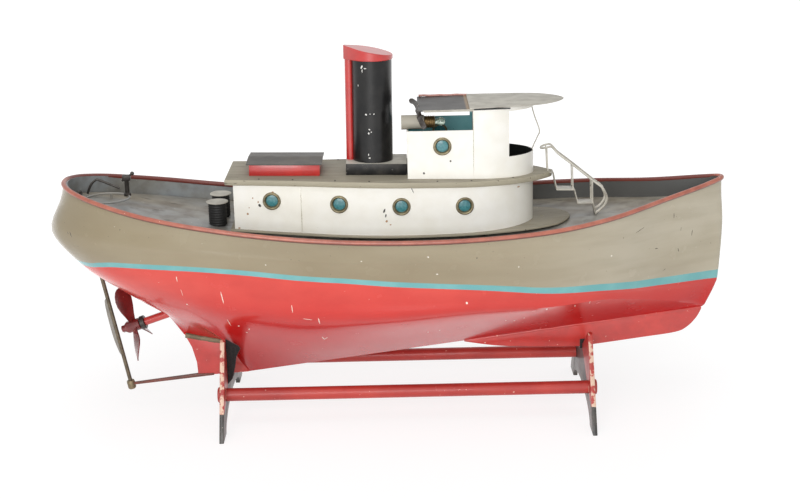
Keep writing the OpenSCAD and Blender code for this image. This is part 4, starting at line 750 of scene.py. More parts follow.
def drill(radius, low, high, place, sides=32):
    """A round tool along its own Z, to cut a hole with."""
    return turned("drill", [(0, low), (radius, low), (radius, high), (0, high)], None, place, sides)


def sheet_faces(rows, cols):
    """Faces of a sheet of rows by cols squares, whose second layer of points follows the first."""
    wide = cols + 1
    under = (rows + 1) * wide
    faces = []
    for r in range(rows):
        for c in range(cols):
            a = r * wide + c
            square = (a, a + 1, a + 1 + wide, a + wide)
            faces += [square, tuple(under + v for v in square[::-1])]
        for a in (r * wide, r * wide + cols):
            faces.append((a, a + wide, under + a + wide, under + a))
    for row in (0, rows * wide):
        for c in range(cols):
            faces.append((row + c, row + c + 1, under + row + c + 1, under + row + c))
    return faces


def place_on(thing, body, slot, *nodes):
    """The last step of every piece: its body, and the CAD nodes that it stands for. The finish slot is not
    used.
    """
    if nodes:
        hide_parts(*nodes)
    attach(thing, body)
    return thing


# %% [markdown]
# ### Rods and repeats from Geometry Nodes
#
# Two node trees do the repeating work. One sweeps a circle along a path, for the rail, handrails, rods
# and wires. The other sets copies of one pattern piece on points that carry a turn, for portholes,
# propeller blades, bollards, chain links, nail heads and dowel buttons. Both end in Realize Instances
# and Set Material, so the result is one plain mesh.


# %% Two Geometry Nodes trees
def socket_id(tree, name):
    """The identifier of a named input of a tree."""
    return next(i.identifier for i in tree.interface.items_tree if i.name == name and i.in_out == "INPUT")


def new_tree(name, inputs):
    """An empty tree with a geometry input and output and named inputs."""
    tree = bpy.data.node_groups.new(name, "GeometryNodeTree")
    tree.interface.new_socket("Start", in_out="INPUT", socket_type="NodeSocketGeometry")
    for label, kind in inputs:
        tree.interface.new_socket(label, in_out="INPUT", socket_type=kind)
    tree.interface.new_socket("Result", in_out="OUTPUT", socket_type="NodeSocketGeometry")
    return tree, tree.nodes.new("NodeGroupInput").outputs, tree.nodes.new("NodeGroupOutput").inputs


rod_tree, rod_in, rod_out = new_tree(
    "rod_along_a_path",
    [("Radius", "NodeSocketFloat"), ("Sides", "NodeSocketInt"), ("Finish", "NodeSocketMaterial")],
)  # fmt: skip
path_curve = rod_tree.nodes.new("GeometryNodeMeshToCurve")
profile_circle = rod_tree.nodes.new("GeometryNodeCurvePrimitiveCircle")
swept = rod_tree.nodes.new("GeometryNodeCurveToMesh")
swept.inputs["Fill Caps"].default_value = True
rod_real = rod_tree.nodes.new("GeometryNodeRealizeInstances")
rod_finish = rod_tree.nodes.new("GeometryNodeSetMaterial")
for start, end in (
    (rod_in["Start"], path_curve.inputs["Mesh"]),
    (rod_in["Radius"], profile_circle.inputs["Radius"]),
    (rod_in["Sides"], profile_circle.inputs["Resolution"]),
    (path_curve.outputs[0], swept.inputs["Curve"]),
    (profile_circle.outputs[0], swept.inputs["Profile Curve"]),
    (swept.outputs[0], rod_real.inputs[0]),
    (rod_real.outputs[0], rod_finish.inputs["Geometry"]),
    (rod_in["Finish"], rod_finish.inputs["Material"]),
    (rod_finish.outputs[0], rod_out["Result"]),
):
    rod_tree.links.new(start, end)

copy_tree, copy_in, copy_out = new_tree(
    "copies_on_points", [("Pattern", "NodeSocketObject"), ("Finish", "NodeSocketMaterial")]
)
pattern_info = copy_tree.nodes.new("GeometryNodeObjectInfo")
turn_read = copy_tree.nodes.new("GeometryNodeInputNamedAttribute")
turn_read.data_type = "FLOAT_VECTOR"
turn_read.inputs["Name"].default_value = "turn"
turn_made = copy_tree.nodes.new("FunctionNodeEulerToRotation")
spots_made = copy_tree.nodes.new("GeometryNodeMeshToPoints")
copies_made = copy_tree.nodes.new("GeometryNodeInstanceOnPoints")
copy_real = copy_tree.nodes.new("GeometryNodeRealizeInstances")
copy_finish = copy_tree.nodes.new("GeometryNodeSetMaterial")
for start, end in (
    (copy_in["Start"], spots_made.inputs["Mesh"]),
    (spots_made.outputs[0], copies_made.inputs["Points"]),
    (copy_in["Pattern"], pattern_info.inputs["Object"]),
    (pattern_info.outputs["Geometry"], copies_made.inputs["Instance"]),
    (turn_read.outputs["Attribute"], turn_made.inputs[0]),
    (turn_made.outputs[0], copies_made.inputs["Rotation"]),
    (copies_made.outputs[0], copy_real.inputs[0]),
    (copy_real.outputs[0], copy_finish.inputs["Geometry"]),
    (copy_in["Finish"], copy_finish.inputs["Material"]),
    (copy_finish.outputs[0], copy_out["Result"]),
):
    copy_tree.links.new(start, end)


def with_tree(thing, tree, smooth, **values):
    """Runs a tree on an object with its inputs set, and keeps the plain mesh."""
    step = thing.modifiers.new(tree.name, "NODES")
    step.node_group = tree
    for name, value in values.items():
        step[socket_id(tree, name)] = value
    return settle(thing, smooth)


def rod(name, path, diameter, finish, closed=False, sides=14, smooth=40.0):
    """A round rod along points in mm."""
    mesh = bpy.data.meshes.new(name)
    n = len(path)
    edges = [(i, (i + 1) % n) for i in range(n if closed else n - 1)]
    mesh.from_pydata([(x * MM, y * MM, z * MM) for x, y, z in path], edges, [])
    thing = bpy.data.objects.new(name, mesh)
    bpy.context.scene.collection.objects.link(thing)
    return with_tree(thing, rod_tree, smooth, Radius=diameter / 2 * MM, Sides=sides, Finish=finish)


def copies(name, pattern, places, finish, smooth=32.0):
    """Copies of a pattern at each place, which is a matrix in metres, as one mesh."""
    mesh = bpy.data.meshes.new(name)
    mesh.from_pydata([tuple(m.to_translation()) for m in places], [], [])
    turns = mesh.attributes.new("turn", "FLOAT_VECTOR", "POINT")
    for number, place in enumerate(places):
        turns.data[number].vector = tuple(place.to_euler())
    thing = bpy.data.objects.new(name, mesh)
    bpy.context.scene.collection.objects.link(thing)
    with_tree(thing, copy_tree, smooth, Pattern=pattern, Finish=finish)
    bpy.data.objects.remove(pattern)
    return thing


def flowing(points, steps):
    """A smooth curve through points, as more points."""
    n = len(points)
    out = []
    for i in range(n - 1):
        near = [points[max(0, min(n - 1, k))] for k in range(i - 1, i + 3)]
        for s in range(steps):
            out.append(tuple(blend4(*c, s / steps) for c in zip(*near)))
    return out + [tuple(points[-1])]


def blend4(a, b, c, d, f):
    """A Catmull-Rom curve between b and c."""
    return 0.5 * (2 * b + (c - a) * f + (2 * a - 5 * b + 4 * c - d) * f * f + (3 * b - a - 3 * c + d) * f**3)


# %% [markdown]
# ## Hull
#
# The real hull is formed sheet: a round, undercut stern, nearly flat sides, a soft turn of the bilge
# aft that becomes a hard chine forward, and a V bottom down to a raked keel. Eight lines run from stern
# to stem, each through fourteen stations, and smooth curves through them make the skin. Box
# modelling could give a similar shape, but lines are how a boat is drawn, and they keep it fair.

# %% Lines of the hull
RAIL_PLAN = [
    (-389, 0), (-385.5, 20), (-372, 42.5), (-340, 69), (-280, 96), (-200, 111), (-100, 121.5), (0, 126),
    (100, 126), (190, 118.5), (260, 94.5), (325, 53.5), (385, 19.5), (405.6, 0),
]  # fmt: skip
DECK_PLAN = [
    (-394.5, 0), (-390.5, 22), (-376, 44.5), (-343, 71.5), (-281, 98), (-200, 112), (-100, 121.8),
    (0, 126.2), (100, 125.8), (190, 117.5), (260, 93), (325, 52), (385, 17.5), (406.4, 0),
]  # fmt: skip
KNUCKLE = [(-408.9, 0, 240), (-402, 25, 240), (-385, 48.5, 240), (-348, 75, 239), (-284, 100, 236),
           (-200, 112.8, 231), (-100, 121.5, 224), (0, 125.5, 218.5), (100, 124.7, 218), (190, 116, 219.5),
           (260, 90.5, 222), (325, 49.5, 224), (387, 14.5, 226), (408.9, 0, 227)]  # fmt: skip
BOOT_LINE = [
    (-382, 0, 206), (-377, 27, 207), (-363, 50, 208.5), (-333, 75, 211.5), (-278, 98, 215),
    (-200, 109.5, 212.7), (-100, 118.5, 205), (0, 122.5, 197.5), (100, 121.5, 190), (190, 112.5, 182),
    (260, 87.5, 176.5), (325, 46.5, 169.5), (386, 12, 166), (406, 0, 166),
]  # fmt: skip
SIDE_LOW = [(-353, 0, 182), (-349, 24, 182.5), (-337, 46, 184), (-313, 69, 187), (-268, 88, 189),
            (-200, 99, 183), (-100, 112, 176), (0, 119, 173), (100, 118, 173), (190, 109, 171),
            (260, 85.5, 168), (325, 43.5, 157), (383, 9.5, 148), (402.5, 0, 149)]  # fmt: skip
CHINE = [(-305, 0, 148), (-302, 17, 149), (-294.5, 36, 151.5), (-280, 52, 154), (-248, 68, 156),
         (-195, 84, 150), (-100, 101, 145.5), (0, 113.5, 149.5), (100, 112.5, 156), (190, 106, 159.5),
         (260, 83.5, 160), (325, 42, 144), (374, 9, 129), (391, 0, 123.5)]  # fmt: skip
GARBOARD = [(-278, 0, 127.5), (-275.5, 8, 128), (-270, 17, 128), (-258, 25, 126), (-236, 32, 122),
            (-185, 40, 103), (-100, 50, 98), (0, 54, 108), (100, 52, 117), (190, 46, 124),
            (260, 34, 129), (325, 15, 125), (372, 3, 122), (388.5, 0, 121.3)]  # fmt: skip
KEEL_X = [-257, -252, -244, -232, -210, -178, -92, 8, 104, 190, 256, 322, 372, 386]
KEEL_LINE = [(-257, 99), (-203, 88.6), (-188, 60), (-178, 48), (386, 120)]
HULL_LENGTH, HULL_BEAM, PLATE = 817.8, 253.0, 1.6
STOCK_TOP_X, STAIR_FOOT_X, STAIR_TOP_X = -372.0, 252.0, 196.0
RAIL_LOW, BULWARK, CAMBER, DECK_PLATE = 246.5, 21.0, 4.0, 1.6


def lookup(x, table):
    """Straight-line reading of a table of pairs."""
    for (x0, z0), (x1, z1) in zip(table, table[1:]):
        if x <= x1:
            return z0 + (z1 - z0) * max(0.0, (x - x0) / (x1 - x0))
    return table[-1][1]


def sheer(x):
    """Height of the rail."""
    return RAIL_LOW + (0.0003 if x < 25 else 0.00027) * (x - 25) ** 2


def deck_mid(x):
    """Height of the middle of the deck."""
    return sheer(x) - BULWARK + CAMBER


def along(table, t):
    """A point of a line at station t; past an end the line goes on as its mirror image."""
    n = len(table) - 1

    def control(k):
        if 0 <= k <= n:
            return table[k]
        v = table[-k] if k < 0 else table[2 * n - k]
        return tuple(-c if i == 1 else c for i, c in enumerate(v))

    k = min(int(t), n - 1)
    return tuple(blend4(*c, t - k) for c in zip(control(k - 1), control(k), control(k + 1), control(k + 2)))


def lines_at(t):
    """The eight line points of one station, from rail to keel."""
    rail = along(RAIL_PLAN, t)
    edge = along(DECK_PLAN, t)
    keel_x = along([(x, 0) for x in KEEL_X], t)[0]
    return [
        (rail[0], max(rail[1], 0), sheer(rail[0])),
        (edge[0], max(edge[1], 0), sheer(edge[0]) - BULWARK),
        along(KNUCKLE, t), along(BOOT_LINE, t), along(SIDE_LOW, t), along(CHINE, t), along(GARBOARD, t),
        (keel_x, 0, lookup(keel_x, KEEL_LINE)),
    ]  # fmt: skip


SOFT_BILGE_X, HARD_CHINE_X = 40.0, 200.0
SECTION_STEPS = 5


def towards(p, q, share):
    """A point between two points."""
    return tuple(a + (b - a) * share for a, b in zip(p, q))


def half_section(t):
    """One side of a section: curved from rail to chine, with a chine that softens aft."""
    q = lines_at(t)
    hard = max(0.0, min(1.0, (q[5][0] - SOFT_BILGE_X) / (HARD_CHINE_X - SOFT_BILGE_X)))
    hard = hard * hard * (3 - 2 * hard)
    out = []
    for k in range(7):
        a = q[k - 1] if k else towards(q[1], q[0], 2)
        d = q[k + 2] if k < 6 else towards(q[6], q[7], 2)
        if k == 4:
            d = towards(q[6], towards(q[4], q[5], 2), hard)
        if k == 5:
            a = towards(q[4], towards(q[6], q[5], 2), hard)
        for s in range(SECTION_STEPS):
            x, y, z = (blend4(*c, s / SECTION_STEPS) for c in zip(a, q[k], q[k + 1], d))
            out.append((x, max(y, 0), z))
    return out + [q[7]]


def drawn_in(p, low_share):
    """The inside of the plating opposite a point of the outside."""
    x, y, z = p
    return (
        x * (1 - 6 * PLATE / HULL_LENGTH), y * (1 - 2 * PLATE / HULL_BEAM),
        z + 1.2 * PLATE * math.sin(math.pi / 2 * low_share),
    )  # fmt: skip


# %% Hull skin
STATION_STEPS = 8
stations = (len(RAIL_PLAN) - 1) * STATION_STEPS
sections = [half_section(i / STATION_STEPS) for i in range(stations + 1)]
rows = len(sections[0])
outer = [[(x, -y, z) for x, y, z in s] + s[-2::-1] for s in sections]
inner_half = [[drawn_in(p, m / (rows - 1)) for m, p in enumerate(s)] for s in sections]
inner = [[(x, -y, z) for x, y, z in s] + s[-2::-1] for s in inner_half]
wide = len(outer[0])
skin_points = [p for ring in outer + inner for p in ring]
inner_from = len(outer) * wide
skin_faces, inside_faces = [], []
for i in range(stations):
    for m in range(wide - 1):
        a, b, c, d = i * wide + m, (i + 1) * wide + m, (i + 1) * wide + m + 1, i * wide + m + 1
        skin_faces.append((a, b, c, d))
        inside_faces.append(tuple(inner_from + v for v in (d, c, b, a)))
    for m in (0, wide - 1):
        a, b = i * wide + m, (i + 1) * wide + m
        inside_faces.append((a, b, inner_from + b, inner_from + a))
hull = piece("hull_skin", skin_points, skin_faces + inside_faces, hull_enamel, None, (bulwark_grey,))
for face in hull.data.polygons:
    face.material_index = 1 if face.index >= len(skin_faces) else 0
tidy(hull, 38.0)
place_on(hull, "hull", "hull_paint", "hull_shell")
print("hull skin:", len(hull.data.polygons), "faces")

# %% [markdown]
# ### Rail, deck, skeg and keel plate
#
# The rail is one copper tube bent round the sheer and painted salmon. The deck is a cambered sheet let in
# below it, with a well amidships for the machinery. The skeg and fore keel plate are flat sheet on edge,
# soldered to the bottom: the solder shows as a bare, lumpy line.

# %% Rail and deck
half_rail = [lines_at(i / STATION_STEPS)[0] for i in range(stations + 1)]
rail_path = [(x, -y, z) for x, y, z in half_rail] + half_rail[-2:0:-1]
rail = rod("rail_tube_painted", rail_path, 6.0, rail_salmon, closed=True, sides=16, smooth=60.0)
place_on(rail, "hull", "rail_paint", "rail_tube")

WELL_AFT, WELL_FORE, WELL_HALF = -172.0, 150.0, 42.0
DECK_COLUMNS, STOCK_RAKE = 24, 10.65
deck_points = []
deck_rows = range(2, stations - 1)
for side_z in (0.0, -DECK_PLATE):
    for i in deck_rows:
        x, b = drawn_in(lines_at(i / STATION_STEPS)[1], 0.1)[:2]
        for c in range(DECK_COLUMNS + 1):
            u = 2 * c / DECK_COLUMNS - 1
            deck_points.append((x, u * (b - 0.2), deck_mid(x) - CAMBER * u * u + side_z))
deck_faces = sheet_faces(len(deck_rows) - 1, DECK_COLUMNS)
deck = piece("deck_sheet", deck_points, deck_faces, deck_grey)
trunk_tool = turned(
    "trunk_tool", [(4.2, -30), (4.2, 60)], None, at(STOCK_TOP_X, 0, deck_mid(STOCK_TOP_X), 0, -STOCK_RAKE),
)  # fmt: skip
cut(deck, block("well_tool", (WELL_AFT, -WELL_HALF, 150), (WELL_FORE, WELL_HALF, 300)), trunk_tool)
place_on(deck, "hull", "deck_paint", "main_deck")
print("deck:", len(deck.data.polygons), "faces")

# %% Skeg, fore keel plate and their solder
KEEL_T = 3.0
skeg_line = [(-242, 44), (-243, 62), (-248, 82), (-257, 100.5), (-203, 90.1), (-186, 59.5), (-178, 49.5),
             (-178, 48)]  # fmt: skip
skeg = side_plate("skeg", skeg_line, KEEL_T, keel_red)
place_on(rounded(skeg, 0.5), "hull", "red_paint", "skeg_plate")
FORE_PLATE_LOW = [(92, 81.5), (130, 75.5), (163, 73.4), (231, 72), (251, 74), (312, 82), (355, 88), (370, 95),
                  (381, 107), (387, 118.7)]  # fmt: skip
fore_line = flowing(FORE_PLATE_LOW, 4) + [(x, lookup(x, KEEL_LINE) + 1.5) for x in (386, 310, 200, 92.5)]
fore_plate = side_plate("fore_keel", fore_line, KEEL_T, keel_red)
place_on(rounded(fore_plate, 0.5), "hull", "red_paint", "fore_keel_plate")
random.seed(11)
skeg_seam = [(x, 0, lookup(x, KEEL_LINE) - 0.8 + random.uniform(-0.4, 0.4)) for x in range(-255, -203, 3)]
fore_seam = [(x, 0, lookup(x, KEEL_LINE) - 0.2 + random.uniform(-0.3, 0.3)) for x in range(110, 384, 4)]
for name, seam, bead_d, paint in (
    ("skeg_solder", skeg_seam, 7.5, solder_olive), ("fore_keel_solder", fore_seam, 4.2, keel_red),
):
    place_on(rod(name, seam, bead_d, paint, sides=10), "hull", "red_paint")

# %% [markdown]
# ## Propeller, stern tube and rudder
#
# Three broad blades are soldered to a turned hub, with a nut behind and a dark gland before it. Each
# blade is a leaf-shaped sheet with some twist, so the pitch falls towards its tip. The rudder stock runs
# from a brass heel fitting up through the deck, and the small blade is drawn turned to port.

# %% Propeller
SHAFT_SLOPE, HUB_AT = 18.6, (-318.0, 112.0)
ON_SHAFT = at(HUB_AT[0], 0, HUB_AT[1], 0, -SHAFT_SLOPE)
ALONG_SHAFT = ON_SHAFT @ Matrix.Rotation(math.radians(90), 4, "Y")
BLADE_LEAF = [(7, 4.5), (14, 6.5), (24, 10.5), (33, 13.4), (40.5, 13.6), (46.5, 11.2), (50.2, 7.2), (52, 2.4)]
BLADE_PITCH_ROOT, BLADE_PITCH_TIP, BLADE_FIRST = 48.0, 24.0, 5.0
BLADE_COLUMNS, BLADE_TIP, BLADE_WIDE, BLADE_CUP = 8, 52.0, 13.8, 1.6
blade_points = []
for side in (-0.7, 0.7):
    for radius, half in BLADE_LEAF:
        pitch = math.radians(BLADE_PITCH_ROOT + (BLADE_PITCH_TIP - BLADE_PITCH_ROOT) * radius / BLADE_TIP)
        for c in range(BLADE_COLUMNS + 1):
            w = half * (2 * c / BLADE_COLUMNS - 1)
            cup = BLADE_CUP * (w / BLADE_WIDE) ** 2 + side
            x = w * math.sin(pitch) + cup * math.cos(pitch)
            y = w * math.cos(pitch) - cup * math.sin(pitch)
            blade_points.append((x, y, radius))
blade_faces = sheet_faces(len(BLADE_LEAF) - 1, BLADE_COLUMNS)
leaf = piece("blade_pattern", blade_points, blade_faces, propeller_red, 50.0)
blade_places = [ON_SHAFT @ Matrix.Rotation(math.radians(BLADE_FIRST + 120 * k), 4, "X") for k in range(3)]
blades = copies("propeller_leaves", leaf, blade_places, propeller_red, 50.0)
place_on(blades, "propeller_line", "red_paint", "propeller_blades")
hub = turned("propeller_boss", [(0, -12), (4.5, -12), (6.6, -9.5), (7.5, -8), (7.5, 7.2), (6.8, 8), (0, 8)],
             propeller_red, ALONG_SHAFT, 32)  # fmt: skip
nut = turned("propeller_nut", [(0, -16), (4, -16), (4.6, -15.2), (4.6, -11.8), (0, -11.8)], propeller_red,
             ALONG_SHAFT, 6, 20)  # fmt: skip
place_on(hub, "propeller_line", "red_paint", "propeller_hub")
place_on(nut, "propeller_line", "red_paint")
tube_line = [(5, 12), (5, 150), (2.55, 150), (2.55, 12), (5, 12)]
gland_line = [(8.5, 9.6), (8.5, 14.4), (7.9, 15), (2.6, 15), (2.6, 9), (7.9, 9), (8.5, 9.6)]
for name, profile, paint, slot, node in (
    ("stern_tube_painted", tube_line, keel_red, "red_paint", "stern_tube"),
    ("gland_nut", gland_line, dark_steel, "dark_steel", "stern_gland"),
):
    place_on(turned(name, profile, paint, ALONG_SHAFT, 32), "hull", slot, node)

# %% Rudder and its heel
HEEL_AT = (-327.1, 34.5)
ON_STOCK = at(HEEL_AT[0], 0, HEEL_AT[1], 0, -STOCK_RAKE)
low_stock, high_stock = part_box("rudder_stock")
stock_length = (high_stock.z - low_stock.z) / MM / math.cos(math.radians(STOCK_RAKE)) - 1.0
stock_top = stock_length - 3
stock_line = [(0, -3), (2.1, -3), (2.5, -2.4), (2.5, stock_top - 0.6), (2.1, stock_top), (0, stock_top)]
stock = turned("rudder_stock_rod", stock_line, rudder_bronze, ON_STOCK, 20)
place_on(stock, "rudder", "bare_bronze", "rudder_stock")
RUDDER_TURN, BLADE_LOW, CHORD, BLADE_H = 66.0, 36.0, 34.0, 80.0
blade_line = [
    (0.4, 0), (-0.35 * CHORD, 0.01 * BLADE_H), (-0.6 * CHORD, 0.04 * BLADE_H),
    (-0.93 * CHORD, 0.2 * BLADE_H), (-CHORD, 0.43 * BLADE_H), (-0.91 * CHORD, 0.7 * BLADE_H),
    (-0.65 * CHORD, 0.9 * BLADE_H), (0.4, BLADE_H),
]  # fmt: skip
rudder = plate("rudder_leaf", flowing(blade_line, 5), 1.8, rudder_bronze,
               ON_STOCK @ at(0, 0, BLADE_LOW, 0, 0, -RUDDER_TURN) @ SIDE_VIEW)  # fmt: skip
place_on(rounded(rudder, 0.5), "rudder", "bare_bronze", "rudder_blade")
shoe_line = [(-329.1, 33.2), (-222, 44.4), (-222, 47.2), (-242, 46.8), (-329.1, 36.2)]
shoe = side_plate("heel_bar", shoe_line, 5.0, heel_rust)
place_on(rounded(shoe, 1.0), "hull", "red_paint", "heel_shoe")
cup_line = [(0, -6), (4, -6), (5, -4.6), (5, 3.8), (4.4, 5), (2.6, 5), (2.6, -3.4), (0, -3.4)]
place_on(turned("heel_cup", cup_line, heel_brass, ON_STOCK, 24), "hull", "bare_bronze")

# %% [markdown]
# ## Deck fittings
#
# Two bollards stand aft of the house: each is a drum wound with ridges under a wider painted cap. Right
# aft are the remains of the steering gear: an oval hoop that the tiller slid on, a post with a clamp
# screw, the tiller rod and a scrap of chain.

# %% Bollards
BOLLARD_X, BOLLARD_Y, BOLLARD_H, BOLLARD_D, CAP_T = -203.9, 20.0, 29.0, 21.8, 1.2
bollard_foot = deck_mid(BOLLARD_X) - CAMBER * 0.04
RIDGES = 9
ridge_h = (BOLLARD_H - CAP_T) / RIDGES
drum_profile = [(0, 0)]
for k in range(RIDGES):
    for share, sunk in ((0.06, 0.45), (0.25, 0.08), (0.5, 0), (0.75, 0.08), (0.94, 0.45)):
        drum_profile.append((BOLLARD_D / 2 - sunk, (k + share) * ridge_h))
drum_profile.append((0, RIDGES * ridge_h))
drum = turned("drum_pattern", drum_profile, inside_black, None, 40, 50)
bollard_places = [at(BOLLARD_X, s * BOLLARD_Y, bollard_foot) for s in (-1, 1)]
drums = copies("bollard_drums", drum, bollard_places, inside_black, 50)
place_on(drums, "hull", "black_paint", "bollards")
cap_line = [(0, 0), (12.9, 0), (13.2, 0.3), (13.2, 0.9), (12.8, 1.2), (0, 1.2)]
cap_pattern = turned("cap_pattern", cap_line, canopy_grey, None, 40)
cap_places = [place @ at(0, 0, BOLLARD_H - CAP_T) for place in bollard_places]
caps = copies("bollard_tops", cap_pattern, cap_places, canopy_grey)
place_on(caps, "hull", "deck_paint", "bollard_caps")

# %% Steering gear
HOOP_X, HOOP_A, HOOP_B, HOOP_UP = -339.0, 26.5, 24.5, 5.6
hoop_z = deck_mid(HOOP_X) + HOOP_UP
hoop_path = [(x, y, hoop_z + 0.8) for x, y in arc(HOOP_A, HOOP_B, range(0, 360, 6), (HOOP_X, 0))]
hoop = rod("tiller_guide_hoop", hoop_path, 2.6, deck_grey, closed=True, sides=10)
place_on(hoop, "hull", "deck_paint", "tiller_hoop")
for label, y in (("starboard", -HOOP_B), ("port", HOOP_B)):
    leg_path = [(HOOP_X, y, deck_mid(HOOP_X) - 1), (HOOP_X, y, hoop_z + 0.6)]
    place_on(rod(f"hoop_leg_{label}", leg_path, 2.6, deck_grey), "hull", "deck_paint")
POST_X, POST_H, CLAMP_H, SCREW_TILT = -316.8, 26.0, 7.0, 35.0
POST_Y = HOOP_B * math.sqrt(1 - ((POST_X - HOOP_X) / HOOP_A) ** 2)
screw_z = hoop_z + POST_H - CLAMP_H / 2
post_line = [(0, 0), (4.4, 0), (4.5, 0.4), (4.5, 2.8), (3.8, 3.5), (2.75, 3.9), (2.75, POST_H - 8),
             (3.3, POST_H - 7), (3.3, POST_H - 0.8), (2.6, POST_H), (0, POST_H)]  # fmt: skip
post = turned("steering_post", post_line, dark_steel, at(POST_X, POST_Y, hoop_z), 24)
place_on(post, "hull", "dark_steel", "tiller_post")
head_low = (POST_X - 5, POST_Y - 3.5, hoop_z + POST_H - CLAMP_H)
head = block("post_head", head_low, (POST_X + 5, POST_Y + 3.5, hoop_z + POST_H), dark_steel)
place_on(rounded(head, 1.0), "hull", "dark_steel")
screw_line = [(0, -7), (1.25, -7), (1.25, 6.6)] + arc(2.5, 2.5, range(-60, 91, 15), (0, 9))
knob = turned("clamp_screw", screw_line, dark_steel, at(POST_X, POST_Y, screw_z, 0, 90 - SCREW_TILT), 20, 50)
place_on(knob, "tiller_clamp", "dark_steel", "tiller_screw")
bend_z = deck_mid(-352) + 26
tiller_points = [(-362.6, 0, deck_mid(STOCK_TOP_X) + 5), (-358, 0, bend_z - 6), (-352, 0, bend_z),
                 (-347, 0, bend_z), (-322.9, 0, deck_mid(-322) + 22)]  # fmt: skip
tiller_rod = rod("tiller_rod", flowing(tiller_points, 6), 3.0, dark_steel)
place_on(tiller_rod, "rudder", "dark_steel", "tiller")
collar_w = (deck_mid(STOCK_TOP_X) + 2 - HEEL_AT[1]) / math.cos(math.radians(STOCK_RAKE)) + 1
collar_line = [(0, 0), (4, 0), (4.5, 0.6), (4.5, 4.4), (4, 5), (0, 5)]
collar = turned("tiller_collar", collar_line, dark_steel, ON_STOCK @ at(0, 0, collar_w), 20)
place_on(collar, "rudder", "dark_steel")
link_path = [(x, y, 0) for x, y in arc(2.9, 1.7, range(0, 360, 30))]
link = rod("link_pattern", link_path, 0.9, pale_chain, closed=True, sides=6)
LINK_FIRST, LINK_STEP = (-383.0, -4.0), (2.1, -2.0)
link_turn = math.degrees(math.atan2(LINK_STEP[1], LINK_STEP[0]))
link_places = []
for k in range(9):
    x, y = LINK_FIRST[0] + LINK_STEP[0] * k, LINK_FIRST[1] + LINK_STEP[1] * k
    z = deck_mid(x) - CAMBER * (y / 45) ** 2 + 2.2
    link_places.append(at(x, y, z, 45 if k % 2 else -45, 12, link_turn))
chain = copies("steering_chain_links", link, link_places, pale_chain, 50)
place_on(chain, "hull", "bright_steel", "steering_chain")
print("deck fittings made")

# %% [markdown]
# ## Deckhouse
#
# The house is one strip of sheet bent round to a rounded bow and soldered, standing on a grey board, with
# a wooden roof over it. Walls, board and roof each follow a plan curve and lie between two heights, so
# one helper makes all three. Eight grommets hold the portholes.

# %% Plan curves and a slab between two heights
HOUSE_PLAN = [(-181, 46), (-140, 49.5), (-100, 52.5), (-50, 58), (0, 61), (60, 60), (100, 57), (129, 50),
              (153, 37), (170, 19), (177, 0)]  # fmt: skip
ROOF_PLAN = [(-190.5, 50), (-150, 52), (-100, 56), (-50, 62), (0, 65.5), (60, 64), (100, 61), (124, 55),
             (149, 46), (172, 32), (189, 17), (200, 0)]  # fmt: skip
BOARD_PLAN = [(-186, 50), (-140, 53), (-100, 56.5), (-50, 62), (0, 65), (60, 64), (100, 62), (140, 57),
              (180, 48), (208, 32), (222, 0)]  # fmt: skip
ROOF_Z, ROOF_SLOPE, ROOF_T, WALL_T = 303.0, 0.0215, 7.0, 2.0
PLAN_STEPS = 6


def roof_top(x):
    """Height of the top of the roof."""
    return ROOF_Z - ROOF_SLOPE * x


def roof_low(x):
    """Height of the underside of the roof."""
    return roof_top(x) - ROOF_T


def board_top(x):
    """Height of the top of the board under the house."""
    return RAIL_LOW - BULWARK + CAMBER + 8.0 + 0.00018 * (x - 40) ** 2


def plan_outline(table):
    """A closed outline, counter-clockwise, from a half plan that ends at a rounded bow."""
    n = len(table) - 1
    half = []
    for k in range(n):
        a = table[k - 1] if k else towards(table[1], table[0], 2)
        d = table[k + 2] if k + 2 <= n else (table[n - 1][0], -table[n - 1][1])
        for s in range(PLAN_STEPS):
            half.append(tuple(blend4(*c, s / PLAN_STEPS) for c in zip(a, table[k], table[k + 1], d)))
    half.append(table[n])
    aft = [(half[0][0], -half[0][1] + 2 * half[0][1] * s / 4) for s in (1, 2, 3)]
    return [(x, -y) for x, y in half] + half[-2::-1] + aft[::-1]


def inset(outline, by):
    """The outline moved inwards."""
    n = len(outline)
    out = []
    for i in range(n):
        p, c, q = Vector(outline[i - 1]), Vector(outline[i]), Vector(outline[(i + 1) % n])
        u, v = (c - p).normalized(), (q - c).normalized()
        normal = Vector((-(u + v).y, (u + v).x)).normalized()
        grow = min(1.5, 1 / max(0.3, normal.dot(Vector((-u.y, u.x)))))
        out.append(tuple(c + normal * by * grow))
    return out


def strips(first, n):
    """Faces across a plan outline, strip by strip, so that a cap may curve along the boat."""
    h = (n - 2) // 2
    faces = [(0, 1, 2 * h - 3, 2 * h - 2, 2 * h - 1, 2 * h, 2 * h + 1)]
    faces += [(i, i + 1, 2 * h - 3 - i, 2 * h - 2 - i) for i in range(1, h - 2)]
    return [tuple(first + v for v in face) for face in faces + [(h - 2, h - 1, h)]]


